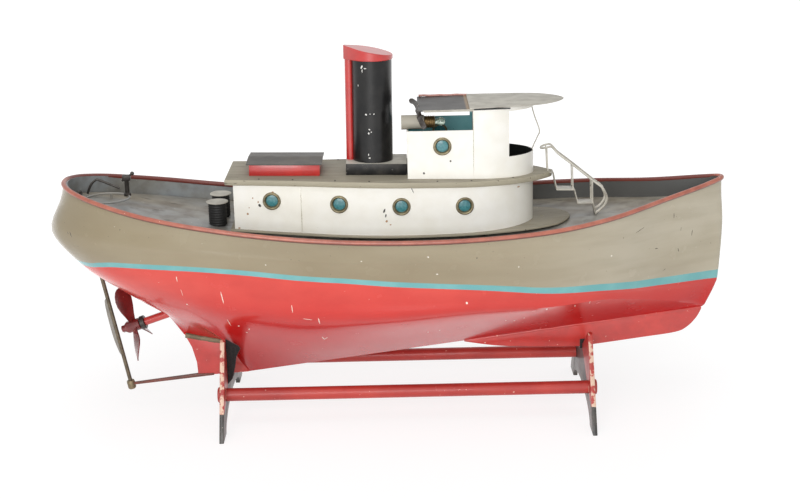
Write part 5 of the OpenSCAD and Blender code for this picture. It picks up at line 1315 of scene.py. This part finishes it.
def slab(name, outline, low, high, finish, edge=0.0, wall=None, rows=1, smooth=32.0):
    """A body between two heights that may vary along X: solid with rounded edges, or a wall."""
    n = len(outline)
    levels = [(outline, r / rows, 0) for r in range(rows + 1)]
    if edge:
        levels = [
            (inset(outline, edge), 0, 0), (inset(outline, edge * 0.3), 0, edge * 0.3), (outline, 0, edge),
            (outline, 1, -edge), (inset(outline, edge * 0.3), 1, -edge * 0.3), (inset(outline, edge), 1, 0),
        ]  # fmt: skip
    points = []
    for loop, share, add in levels:
        points += [(x, y, low(x) + (high(x) - low(x)) * share + add) for x, y in loop]
    faces = [
        (r * n + i, r * n + (i + 1) % n, (r + 1) * n + (i + 1) % n, (r + 1) * n + i)
        for r in range(len(levels) - 1) for i in range(n)
    ]
    if wall is None:
        faces += strips(0, n) + strips((len(levels) - 1) * n, n)
        return piece(name, points, faces, finish, smooth)
    count = len(points)
    within = inset(outline, wall)
    for r in range(rows + 1):
        points += [(x, y, low(x) + (high(x) - low(x)) * r / rows) for x, y in within]
    faces += [tuple(count + v for v in f[::-1]) for f in faces]
    for row in (0, rows * n):
        faces += [(row + i, row + (i + 1) % n, count + row + (i + 1) % n, count + row + i) for i in range(n)]
    return piece(name, points, faces, finish, smooth)


# %% House walls with their porthole holes
PORTS = [(-135.7, 37), (-56, 37), (17.3, 35), (91.8, 33)]
WHEEL_PORT, WHEEL_HALF = (66.6, 340.6), 46.0


def house_half(x):
    """Half width of the house."""
    return lookup(x, HOUSE_PLAN)


port_places, wheel_port_places = [], []
for side in (-1, 1):
    out = 90 if side < 0 else -90
    for x, up in PORTS:
        lean = math.degrees(math.atan2(house_half(x + 8) - house_half(x - 8), 16))
        port_places.append(at(x, side * house_half(x), board_top(x) + up, out, 0, side * lean))
    wheel_port_places.append(at(WHEEL_PORT[0], side * WHEEL_HALF, WHEEL_PORT[1], out))


def port_tools(places):
    """Drills for the porthole holes."""
    return [drill(9.3, -10, 10, place) for place in places]


house_plan = plan_outline(HOUSE_PLAN)
walls = slab("house_wall_strip", house_plan, board_top, roof_low, house_white, wall=WALL_T, rows=4, smooth=30)
cut(walls, *port_tools(port_places), smooth=30)
place_on(walls, "superstructure", "house_paint", "house_walls")
seam_line = [(-102.2, 241), (-99.8, 241), (-99.8, 297), (-102.2, 297)]
seam = side_plate("house_solder_seam", seam_line, 0.6, house_white, -52.6)
place_on(rounded(seam, 0.2), "superstructure", "house_paint")

# %% Board under the house, and the wooden roof
SHEET_BOARD_T, EYE_X = 2.5, 188.0


def board_low(x):
    """Height of the underside of the board under the house."""
    return board_top(x) - SHEET_BOARD_T


board = slab("house_board", plan_outline(BOARD_PLAN), board_low, board_top, roof_boards, edge=0.6)
board_tool = block("board_tool", (WELL_AFT + 4, -38, 190), (WELL_FORE - 4, 38, 290))
cut(board, board_tool, drill(2, 200, 290, at(EYE_X, 0, 0), 16))
place_on(board, "superstructure", "roof_paint", "base_board")
roof = slab("house_roof_boards", plan_outline(ROOF_PLAN), roof_low, roof_top, roof_boards, edge=1.2)
HATCH_X, HATCH_L, HATCH_W, HATCH_H = -163.0, 84.0, 60.0, 13.0
FUNNEL_X, FUNNEL_D, FUNNEL_LEAN = -15.8, 48.0, 0.6
PIPE_D, PIPE_NEST = 10.5, 2.55
PIPE_X = FUNNEL_X - FUNNEL_D / 2 - PIPE_D / 2 + PIPE_NEST
cut(roof, block("hatch_tool", (HATCH_X + 6, -24, 250), (HATCH_X + HATCH_L - 6, 24, 340)),
    drill(22, 250, 340, at(FUNNEL_X, 0, 0)), drill(4.2, 250, 340, at(PIPE_X, 0, 0), 16),
    block("cabin_tool", (40, -26, 250), (140, 26, 340)))  # fmt: skip
place_on(roof, "superstructure", "roof_paint", "house_roof")
print("house: walls", len(walls.data.polygons), "roof", len(roof.data.polygons), "faces")

# %% [markdown]
# ### Portholes
#
# Each porthole is a brass eyelet pressed through the wall, with teal backing behind its hole. One turned
# pattern is copied to the ten places by the copy tree, each turned to lie flat on the curved wall.

# %% Portholes
PORT_R, GLASS_R = 10.75, 6.9
rim_profile = [
    (GLASS_R, -3), (9.3, -3), (9.3, 0), (PORT_R, 0), (PORT_R, 0.6), (10.5, 1.3), (10.0, 1.9), (9.2, 2.3),
    (8.5, 2.1), (7.8, 1.4), (7.3, 0.4), (7.0, -0.6), (GLASS_R, -3),
]  # fmt: skip
rim = turned("rim_pattern", rim_profile, grommet_brass, None, 40, 45)
rims = copies("porthole_grommets", rim, port_places + wheel_port_places, grommet_brass, 45)
place_on(rims, "superstructure", "brass", "porthole_rims")
pane = turned(
    "pane_pattern", [(0, -3), (GLASS_R, -3), (GLASS_R, -1.6), (4.5, -1.1), (0, -0.9)], teal_glass, None, 32,
)  # fmt: skip
panes = copies("porthole_panes", pane, port_places + wheel_port_places, teal_glass)
place_on(panes, "superstructure", "teal_glass", "porthole_glass")

# %% [markdown]
# ### Hatch, funnel and its box
#
# The hatch has a red sheet coaming and a loose bent lid. The funnel is a black sheet tube with a lapped
# seam, and a red exhaust pipe up its aft side; a red cap covers both, cut to a slope. They stand on a low
# box of sheet.


# %% Hatch
def on_roof(x, y=0.0, up=0.0):
    """A place on the sloping roof."""
    return at(x, y, roof_top(x) + up, 0, math.degrees(math.atan(ROOF_SLOPE)))


COAMING_T = 1.4
coaming = block("hatch_coaming_sheet", (0, -HATCH_W / 2, 0), (HATCH_L, HATCH_W / 2, HATCH_H), trim_red)
coaming_inner = HATCH_W / 2 - COAMING_T
coaming_tool = block(
    "coaming_tool", (COAMING_T, -coaming_inner, -5), (HATCH_L - COAMING_T, coaming_inner, HATCH_H + 5),
)  # fmt: skip
cut(coaming, coaming_tool)
moved(rounded(coaming, 0.35), on_roof(HATCH_X))
place_on(coaming, "superstructure", "red_paint", "hatch_coaming")
LID_OVER, LID_T, LID_CROWN = 3.0, 1.2, 2.5
LID_LONG, LID_WIDE = 16, 12
lid_points = []
random.seed(5)
bumps = [[random.uniform(-0.35, 0.35) for _ in range(LID_WIDE + 1)] for _ in range(LID_LONG + 1)]
for layer in (LID_T, 0):
    for i in range(LID_LONG + 1):
        for k in range(LID_WIDE + 1):
            x = -LID_OVER + (HATCH_L + 2 * LID_OVER) * i / LID_LONG
            u = 2 * k / LID_WIDE - 1
            edge_i = min(i, LID_LONG - i, k, LID_WIDE - k)
            lift = LID_CROWN * (1 - abs(u)) + (bumps[i][k] if edge_i else 0.5 * bumps[i][k] - 0.3)
            z = max(0.2, lift) * (1 if layer else 0.98) + layer
            lid_points.append((x, u * (HATCH_W / 2 + LID_OVER), z))
lid_faces = sheet_faces(LID_LONG, LID_WIDE)
lid = moved(piece("hatch_lid_sheet", lid_points, lid_faces, lid_grey, 40), on_roof(HATCH_X, 0, HATCH_H + 0.3))
place_on(lid, "engine_hatch", "lid_paint", "hatch_lid")

# %% Funnel box, funnel, exhaust pipe and cap
WHEEL_X = 25.5
BOX_X, BOX_W, BOX_H = -48.0, 54.0, 14.0
BOX_L = WHEEL_X - BOX_X - 0.8
box_z = roof_top(BOX_X) + BOX_H - 0.8
box = rounded(block("funnel_box_sheet", (0, -BOX_W / 2, 0), (BOX_L, BOX_W / 2, BOX_H), box_black), 0.8)
moved(box, on_roof(BOX_X))
cut(box, drill(22, 250, 360, at(FUNNEL_X, 0, 0), 40), drill(4.2, 250, 360, at(PIPE_X, 0, 0), 20))
box.data.materials.append(canopy_grey)
for face in box.data.polygons:
    if face.normal.z > 0.9 and face.center.z > (box_z - 6) * MM:
        face.material_index = 1
place_on(box, "superstructure", "black_paint", "funnel_box")
ON_FUNNEL = at(FUNNEL_X, 0, box_z - 0.6, 0, FUNNEL_LEAN)
tube_points = [(24, 0.4), (24.15, 30), (24, 62), (23.9, 95), (24, 126), (22.8, 126), (22.8, 0.4), (24, 0.4)]
tube = turned("funnel_tube", tube_points, funnel_black, ON_FUNNEL, 72)
place_on(tube, "superstructure", "black_paint", "funnel")
lap = plate("funnel_lap_seam", [(-3.2, 1), (3.2, 1), (3.2, 121), (-3.2, 121)], 0.8, funnel_black,
            ON_FUNNEL @ at(0, 0, 0, 0, 0, -68) @ at(-24.1, 0, 0, 0, 0, 90) @ SIDE_VIEW)  # fmt: skip
place_on(rounded(lap, 0.3), "superstructure", "black_paint")
ON_PIPE = at(PIPE_X, 0, box_z - 0.6, 0, FUNNEL_LEAN)
pipe_line = [(5.25, 0.4), (5.25, 124), (4.05, 124), (4.05, 0.4), (5.25, 0.4)]
pipe = turned("exhaust_pipe_tube", pipe_line, trim_red, ON_PIPE, 32)
place_on(pipe, "superstructure", "red_paint", "exhaust_pipe")
CAP_LOW, CAP_H = 122.0, 19.0
big, small = FUNNEL_D / 2 + 1.4, PIPE_D / 2 + 1.4
cap_line = arc(big, big, range(-132, 133, 12))
cap_line += arc(small, small, range(136, 225, 22), (PIPE_X - FUNNEL_X, 0))
cap = moved(plate("funnel_cap_sheet", cap_line, 40, trim_red), at(0, 0, CAP_LOW + 20))
slope_line = [
    (-45, CAP_LOW - 1), (35, CAP_LOW - 1), (35, CAP_LOW + 2), (26, CAP_LOW + 5), (-45, CAP_LOW + CAP_H),
]  # fmt: skip
slope_tool = side_plate("slope_tool", slope_line, 90, None)
cut(cap, slope_tool, operation="INTERSECT", smooth=12)
moved(rounded(cap, 0.7, 2, 30, 16), ON_FUNNEL)
place_on(cap, "superstructure", "red_paint", "funnel_cap")
print("funnel made")

# %% [markdown]
# ## Wheelhouse
#
# A sheet shell, square aft and round forward: low walls aft with an open band above, full walls amidships,
# and a window right round the front under a narrow header. Over it lie a pale fore roof and a darker,
# crumpled sheet aft. A torch bulb in a tube lies across the starboard aft corner as a lamp.

# %% Wheelhouse shell
WHEEL_MID, WHEEL_ROUND, WHEEL_FORE, SILL_X = 103.4, 106.5, 177.5, 145.5
AFT_TOP, FORE_TOP, SILL_Z, HEADER, RISE = ROOF_Z + 56.2, ROOF_Z + 80.4, ROOF_Z + 21.8, 5.0, 0.95


def fore_top(x):
    """Height of the top of the wheelhouse walls, which rises towards the bow."""
    return FORE_TOP + (x - WHEEL_MID) * math.tan(math.radians(RISE))


shell_line = [(WHEEL_X + (WHEEL_ROUND - WHEEL_X) * s / 6, -WHEEL_HALF) for s in range(7)]
shell_line += arc(WHEEL_FORE - WHEEL_ROUND, WHEEL_HALF, range(-84, 85, 6), (WHEEL_ROUND, 0))
shell_line += [(WHEEL_ROUND - (WHEEL_ROUND - WHEEL_X) * s / 6, WHEEL_HALF) for s in range(7)]
shell_line += [(WHEEL_X, WHEEL_HALF - 2 * WHEEL_HALF * s / 4) for s in (1, 2, 3)]
shell = slab("wheelhouse_shell", shell_line, roof_top, fore_top, house_white, wall=1.4, rows=3, smooth=30)
LAMP_Y, LAMP_D, LAMP_AFT, LAMP_L, SOCKET_L = -30.0, 17.0, WHEEL_X - 6.5, 27.0, 13.0
LAMP_Z = AFT_TOP + LAMP_D / 2 - 0.6
ON_LAMP = at(LAMP_AFT, LAMP_Y, LAMP_Z, 0, 90)
cut(shell, block("band_tool", (WHEEL_X - 10, -60, AFT_TOP), (WHEEL_MID, 60, AFT_TOP + 60)),
    block("window_tool", (SILL_X, -60, SILL_Z), (SILL_X + 60, 60, fore_top(SILL_X) - HEADER)),
    drill(8.5, -1, 28, ON_LAMP),
    *port_tools(wheel_port_places), smooth=30)  # fmt: skip
shell.data.materials.append(teal_paint)
shell.data.materials.append(inside_black)
# Inside faces of the wheelhouse are teal aft of x = 110 mm and flat black forward of it.
for face in shell.data.polygons:
    x, y, z = (c / MM for c in face.center)
    ahead = max(0.0, x - WHEEL_ROUND) / (WHEEL_FORE - WHEEL_ROUND)
    if math.hypot(ahead, y / WHEEL_HALF) < 0.985 and x > WHEEL_X + 0.7 and abs(face.normal.z) < 0.5:
        face.material_index = 1 if x < 110 else 2
place_on(shell, "superstructure", "house_paint", "wheelhouse_walls")
wheel_seam_line = [(102.6, 302), (104, 302), (104, 382), (102.6, 382)]
wheel_seam = side_plate("wheelhouse_seam", wheel_seam_line, 0.5, house_white, -WHEEL_HALF - 0.1)
place_on(wheel_seam, "superstructure", "house_paint")

# %% Fore roof, aft sheet, its crumpled flap and the stay wire
WHEEL_ROOF = [
    (99, 46.5), (125, 44.5), (150, 42), (172, 38.5), (190, 31.5), (203, 20.5), (210.5, 9.5), (213.3, 0),
]  # fmt: skip
ROOF_GAP, ROOF_SHEET = 0.8, 1.3


def sheet_low(x):
    """Height of the underside of the fore roof."""
    return fore_top(x) + ROOF_GAP


def sheet_top(x):
    """Height of the top of the fore roof."""
    return sheet_low(x) + ROOF_SHEET


fore_roof = slab(
    "wheelhouse_fore_roof", plan_outline(WHEEL_ROOF), sheet_low, sheet_top, canopy_grey, edge=0.4,
)  # fmt: skip
place_on(fore_roof, "superstructure", "canopy_grey", "wheelhouse_roof")
# A thin black strip just under the edge of the fore roof: painted shadow between roof and wall.
shadow_strip_line = [
    (WHEEL_MID + 0.5, fore_top(WHEEL_MID) - 0.9), (SILL_X + 1, fore_top(SILL_X) - 0.6),
    (SILL_X + 1, fore_top(SILL_X) + ROOF_GAP), (WHEEL_MID + 0.5, fore_top(WHEEL_MID) + ROOF_GAP),
]  # fmt: skip
painted_shadow_strip = side_plate("roof_edge_gap", shadow_strip_line, 0.5, inside_black, -45.9)
place_on(painted_shadow_strip, "superstructure", "canopy_grey")
CANOPY_X, CANOPY_HALF, CANOPY_T, CRUMPLE = 39.0, 46.5, 1.0, 0.25
CANOPY_ROWS, CANOPY_COLUMNS = 9, 14
canopy_profile = [
    (WHEEL_MID - (WHEEL_MID - CANOPY_X) * s / CANOPY_ROWS, FORE_TOP + 0.6 - 0.9 * (s / CANOPY_ROWS) ** 2)
    for s in range(CANOPY_ROWS + 1)
]
random.seed(21)
jolts = [[random.uniform(-CRUMPLE, CRUMPLE) for _ in range(CANOPY_COLUMNS + 1)] for _ in canopy_profile]
canopy_points = []
for layer in (0.0, -CANOPY_T):
    for i, (x, z) in enumerate(canopy_profile):
        for k, jolt in enumerate(jolts[i]):
            y = (2 * k / CANOPY_COLUMNS - 1) * CANOPY_HALF
            canopy_points.append((x + (0.5 * jolt if i else 0), y, z + layer + jolt))
canopy_faces = sheet_faces(CANOPY_ROWS, CANOPY_COLUMNS)
canopy = piece("after_canopy_sheet", canopy_points, canopy_faces, after_canopy_grey, 50)
place_on(canopy, "superstructure", "canopy_grey")
hem_line = [
    (CANOPY_X + 2 + 6.6 * s, CANOPY_HALF - 1.4, FORE_TOP + 1.3 + 0.3 * math.sin(2 * s)) for s in range(10)
]  # fmt: skip
hem = rod("canopy_far_hem", hem_line, 2.7, hem_pink, sides=10)
place_on(hem, "superstructure", "canopy_grey")
flange_line = [(CANOPY_X + 7, FORE_TOP - 2.0), (WHEEL_MID, FORE_TOP - 1.8), (WHEEL_MID, FORE_TOP + 0.7),
               (CANOPY_X + 5, FORE_TOP + 0.3)]  # fmt: skip
near_flange = side_plate("canopy_near_flange", flange_line, 1.0, stair_white, -CANOPY_HALF + 0.3)
place_on(near_flange, "superstructure", "canopy_grey")
FLAP_ROWS = [
    (29.5, 24, 384.0, 0.6, 0.8, 1.0), (32, 19, 383.4, 1.6, 1.2, 2.6), (36, 8, 383.2, 2.4, 1.0, 1.4),
    (38, -8, 382.0, 1.6, 0.6, 2.6), (38.5, -24, 381.2, 2.6, -0.6, 2.2), (39.5, -36, 379.6, 1.6, 1.2, 3.2),
    (40.5, -43.5, 376, 3.0, 0.6, 1.4), (42, -44.6, 371, 2.0, 1.0, 2.2), (44.6, -44, 366, 3.0, -0.6, 1.2),
    (46.4, -44.4, 361.6, 2.2, 0.4, 0.8),
]  # fmt: skip
flap_points, flap_faces, FLAP_WIDE = [], [], 4
flap_rows = flowing(FLAP_ROWS, 5)
for x, y, z, dx, dy, dz in flap_rows:
    for k in range(FLAP_WIDE + 1):
        u = 2 * k / FLAP_WIDE - 1
        curl = random.uniform(-0.5, 0.5) if 0 < k < FLAP_WIDE else 0.0
        flap_points.append((x + u * dx + curl, y + u * dy - abs(curl), z + u * dz + curl))
for r in range(len(flap_rows) - 1):
    for k in range(FLAP_WIDE):
        a = r * (FLAP_WIDE + 1) + k
        flap_faces.append((a, a + 1, a + FLAP_WIDE + 2, a + FLAP_WIDE + 1))
flap = piece("canopy_crumpled_hem", flap_points, flap_faces, rust_brown, 40)
flap.modifiers.new("sheet thickness", "SOLIDIFY").thickness = 0.9 * MM
settle(flap, 40)
place_on(flap, "superstructure", "canopy_grey")
stay_points = [
    (174.5, 0, fore_top(174) + 1.4), (175.5, 0, 377.7), (179, 0, 365), (184.8, 0, 348), (182.5, 0, 340.5),
    (178.8, 0, 332.4), (175.9, 0, 325.5),
]  # fmt: skip
stay = rod("front_stay_wire", flowing(stay_points, 5), 1.5, wire_white, sides=8)
place_on(stay, "superstructure", "canopy_grey")

# %% Lamp tube, threaded socket and bulb
barrel_line = [(8.5, 0), (8.5, 26.4), (8, 27), (0, 27), (0, 25.6), (7.6, 25.6), (7.6, 0), (8.5, 0)]
barrel = turned("lamp_barrel", barrel_line, lamp_grey, ON_LAMP, 36)
place_on(barrel, "superstructure", "canopy_grey", "lamp_tube")
THREAD_PITCH = 2.1
thread = [(0, LAMP_L)]
for k in range(6):
    turn_z = LAMP_L + THREAD_PITCH * k
    thread += [(6.5, turn_z + 0.3), (7.4, turn_z + 0.9), (7.4, turn_z + 1.5), (6.5, turn_z + THREAD_PITCH)]
thread += [(5.6, LAMP_L + SOCKET_L), (0, LAMP_L + SOCKET_L)]
socket = turned("lamp_socket", thread, socket_brass, ON_LAMP, 36, 50)
place_on(socket, "superstructure", "brass")
bulb_profile = [(0, 40), (3.5, 40), (3.5, 44)] + arc(5, 5, range(-40, 91, 13), (0, 47)) + [(0, 52)]
bulb = turned("lamp_bulb_glass", bulb_profile, bulb_glass, ON_LAMP, 24, 50)
place_on(bulb, "superstructure", "clear_glass", "lamp_bulb")

# %% Nail heads and screws
nail = turned("nail_pattern", [(0, 0), (1.1, 0), (1.0, 0.4), (0.5, 0.7), (0, 0.75)], dark_steel, None, 12, 60)
nail_places = [at(x, s * WHEEL_HALF, z, -90 * s) for x, z in ((44.6, 308.8), (76.1, 322.8)) for s in (-1, 1)]
for x in (-150, -110, -60, -20, 60, 100, 150):
    y = lookup(x, ROOF_PLAN)
    nail_places += [at(x, s * (y - 5), roof_top(x)) for s in (-1, 1)]
nails = copies("nails_and_screws", nail, nail_places, dark_steel, 60)
place_on(nails, "superstructure", "dark_steel")

# %% [markdown]
# ## Stair and handrails
#
# One strip of sheet is folded into two steps from the roof down to the fore deck. A bent rod goes down
# each side of it, joined round the top by a hairpin, and its white paint is chipped all over.

# %% Stair
stair_top, stair_foot = roof_top(STAIR_TOP_X), deck_mid(STAIR_FOOT_X)
STEP_FOLDS = [(196, stair_top - 1.2), (201, stair_top - 1.8), (205.4, 276), (226.7, 275.4),
              (231, stair_foot + 15.4), (249.5, stair_foot + 15), (252.5, stair_foot + 0.8)]  # fmt: skip
STAIR_T, STAIR_HALF = 1.2, 10.0


def folded(points, thick):
    """The outline of a folded strip seen from the side."""
    sides = ([], [])
    n = len(points) - 1
    for i in range(n + 1):
        k, m = max(i, 1), min(i, n - 1)
        a = (Vector(points[k]) - Vector(points[k - 1])).normalized()
        b = (Vector(points[m + 1]) - Vector(points[m])).normalized()
        v = Vector((-(a + b).y, (a + b).x)).normalized()
        reach = thick / 2 / max(0.4, v.dot(Vector((-a.y, a.x))))
        for side, sign in zip(sides, (1, -1)):
            side.append(tuple(Vector(points[i]) + v * reach * sign))
    return sides[0] + sides[1][::-1]


stair = side_plate("folded_stair", folded(STEP_FOLDS, STAIR_T), 2 * STAIR_HALF, stair_white)
place_on(rounded(stair, 0.3), "superstructure", "roof_paint", "stair")

# %% Handrails
RAIL_Y, HAND_D = 8.0, 2.4
HAND_LINE = [
    (192, 328), (199, 328.5), (207, 320), (224, 306.5), (249, 286), (261, 276), (266, 264), (262, 254),
    (252.3, stair_foot + 2.5),
]  # fmt: skip
loop_top = [
    (188.5, 6.2, 327.2), (186.8, 3.6, 326.6), (186.2, 0, 326.4), (186.8, -3.6, 326.6), (188.5, -6.2, 327.2),
]  # fmt: skip
hand_points = [(x, RAIL_Y, z) for x, z in HAND_LINE[::-1]] + loop_top
hand_points += [(x, -RAIL_Y, z) for x, z in HAND_LINE]
hand = rod("handrail_hairpin", flowing(hand_points, 6), HAND_D, wire_white, sides=12)
place_on(hand, "superstructure", "white_paint", "handrails")
foot_line = flowing([(x, z) for x, z in HAND_LINE[5:]], 6)
for side in (-1, 1):
    label = "port" if side > 0 else "starboard"
    y = side * RAIL_Y
    thick_foot = rod(f"handrail_foot_{label}", [(x, y, z) for x, z in foot_line], 3.4, wire_white, sides=12)
    place_on(thick_foot, "superstructure", "white_paint")
    for number, (top, bottom, wide_post) in enumerate((
        ((193, 328), (194.5, stair_top + 0.4), 1.4),
        ((224, 306.5), (225, 276), 1.4),
        ((248, 287), (248.8, 258.8), 2.0),
    )):
        post_path = [(top[0], y, top[1]), (bottom[0], y, bottom[1])]
        upright = rod(f"handrail_post_{label}_{number}", post_path, wide_post, wire_white, sides=8)
        place_on(upright, "superstructure", "white_paint")

# %% [markdown]
# ## Stand
#
# Two thin boards, each with a notch for the keel and an arch between its feet, are held by two dowels
# whose ends show as buttons. The red paint has gone from the boards' edges, and the feet are black.
# Strips of black felt line the notches, and a loose pad of felt hangs on the after board.

# %% Stand
FOOT_HALF, NOTCH_HALF, HORN_W, HORN_Z, ARCH_HALF, ARCH_Z = 116.0, 50.0, 7.0, 108.0, 84.0, 24.0
FELT, NOTCH_GAP = 2.0, 0.4
DOWEL_D, DOWEL_Y, DOWEL_Z = 16.0, 63.5, 42.0
FELT_HALF = BOARD_T / 2 + 3
skeg_low = lookup(AFT_BOARD - FELT_HALF, (skeg_line[0], skeg_line[-1]))
fore_low_z = min(lookup(FORE_BOARD + s * FELT_HALF, FORE_PLATE_LOW) for s in (-1, 0, 1))
notch_low = {AFT_BOARD: skeg_low - FELT - NOTCH_GAP, FORE_BOARD: fore_low_z - FELT - NOTCH_GAP}
slot_half = KEEL_T / 2 + FELT + NOTCH_GAP
for label, x in (("aft", AFT_BOARD), ("fore", FORE_BOARD)):
    low = notch_low[x]
    side = [
        (FOOT_HALF, 0), (FOOT_HALF - 6, 12), (NOTCH_HALF + HORN_W + 3, HORN_Z - 8),
        (NOTCH_HALF + HORN_W, HORN_Z - 1), (NOTCH_HALF + 2, HORN_Z + 1), (NOTCH_HALF - 2, HORN_Z - 3),
        (slot_half, low + 6), (slot_half, low),
    ]  # fmt: skip
    arch = arc(-ARCH_HALF, ARCH_Z, range(0, 181, 6))
    board_line = side + [(-y, z) for y, z in side[::-1]] + arch
    end = plate(f"stand_board_{label}", board_line, BOARD_T, stand_paint, at(x, 0, 0) @ END_VIEW)
    cut(end, *(drill(DOWEL_D / 2, -20, 20, at(x, s * DOWEL_Y, DOWEL_Z, 0, 90)) for s in (-1, 1)))
    rounded(end, 0.6)
    place_on(end, "stand", "stand_paint", *(["stand_ends"] if label == "aft" else []))
    felt_inner = slot_half - FELT
    felt_line = [(-slot_half, low), (slot_half, low), (slot_half, low + 12), (felt_inner, low + 12),
                 (felt_inner, low + FELT), (-felt_inner, low + FELT), (-felt_inner, low + 12),
                 (-slot_half, low + 12)]  # fmt: skip
    strip = plate(f"felt_strip_{label}", felt_line, BOARD_T + 6, black_felt, at(x, 0, 0) @ END_VIEW)
    place_on(rounded(strip, 0.4), "stand", "felt", *(["notch_felt"] if label == "aft" else []))
PAD_SHAPE = [(2.6, -1), (18.5, -10.5), (20, -14), (15, -24), (12.6, -38), (9, -52), (2.6, -60)]
pad_line = [(AFT_BOARD + x, HORN_Z + z) for x, z in PAD_SHAPE]
felt_flap = side_plate("felt_flap", pad_line, 2.2, black_felt, -44)
place_on(rounded(felt_flap, 0.5), "stand", "felt")
dowel_length = FORE_BOARD - AFT_BOARD + BOARD_T
for label, s in (("starboard", -1), ("port", 1)):
    belly = [(0, 0), (DOWEL_D / 2, 0)]
    belly += [(DOWEL_D / 2 - 0.12 * abs(math.sin(k * 1.7)), dowel_length * k / 14) for k in range(1, 14)]
    belly += [(DOWEL_D / 2, dowel_length), (0, dowel_length)]
    dowel_place = at(AFT_BOARD - BOARD_T / 2, s * DOWEL_Y, DOWEL_Z, 0, 90)
    dowel = turned(f"stand_dowel_{label}", belly, stand_paint, dowel_place, 40)
    place_on(dowel, "stand", "stand_paint", *(["tie_rods"] if s < 0 else []))
button_line = [(0, 0), (9.2, 0), (9.5, 0.5), (9.5, 3.6), (8.4, 4.8), (6, 5), (0, 5)]
button = turned("button_pattern", button_line, stand_paint, None, 32)
button_places = [at(FORE_BOARD + BOARD_T / 2, s * DOWEL_Y, DOWEL_Z, 0, 90) for s in (-1, 1)]
button_places += [at(AFT_BOARD - BOARD_T / 2, s * DOWEL_Y, DOWEL_Z, 0, -90) for s in (-1, 1)]
buttons = copies("dowel_buttons", button, button_places, stand_paint)
place_on(buttons, "stand", "stand_paint", "tie_rod_buttons")
print("stand made")

# %% [markdown]
# ## Machinery
#
# The boiler, burner and rocking-cylinder engine sit in the hull under the house and show only when it is
# lifted off. Their CAD shapes are right as they are, so they keep them and only get a finish.

# %% Finishes for the CAD pieces that stay
PLAIN = {
    "well_coaming": deck_grey, "rudder_trunk": deck_grey, "propeller_shaft": bright_steel,
    "flywheel": bright_steel, "crank_disc": bright_steel, "machinery_bearers": inside_black,
    "engine_standard": engine_green, "cylinder": boiler_brass, "piston_rod": bright_steel,
    "exhaust_riser": boiler_brass, "boiler_barrel": boiler_brass, "boiler_ends": boiler_brass,
    "boiler_casing": box_black, "uptake": box_black, "burner_tank": boiler_brass,
    "burner_wicks": wick_cotton, "steam_pipe": boiler_brass, "stop_valve": boiler_brass,
    "valve_wheel": trim_red, "safety_valve": boiler_brass,
}  # fmt: skip
for node, plain_finish in PLAIN.items():
    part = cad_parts[node]
    part.data.materials.clear()
    part.data.materials.append(plain_finish)
kept = [n for n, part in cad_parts.items() if not part.hide_render]
print("CAD pieces kept:", len(kept), sorted(set(kept) - set(PLAIN)))

# %% Size of the CAD model, and the end
low, high = (list(v) for v in cad_box)
print("CAD box", low, high)
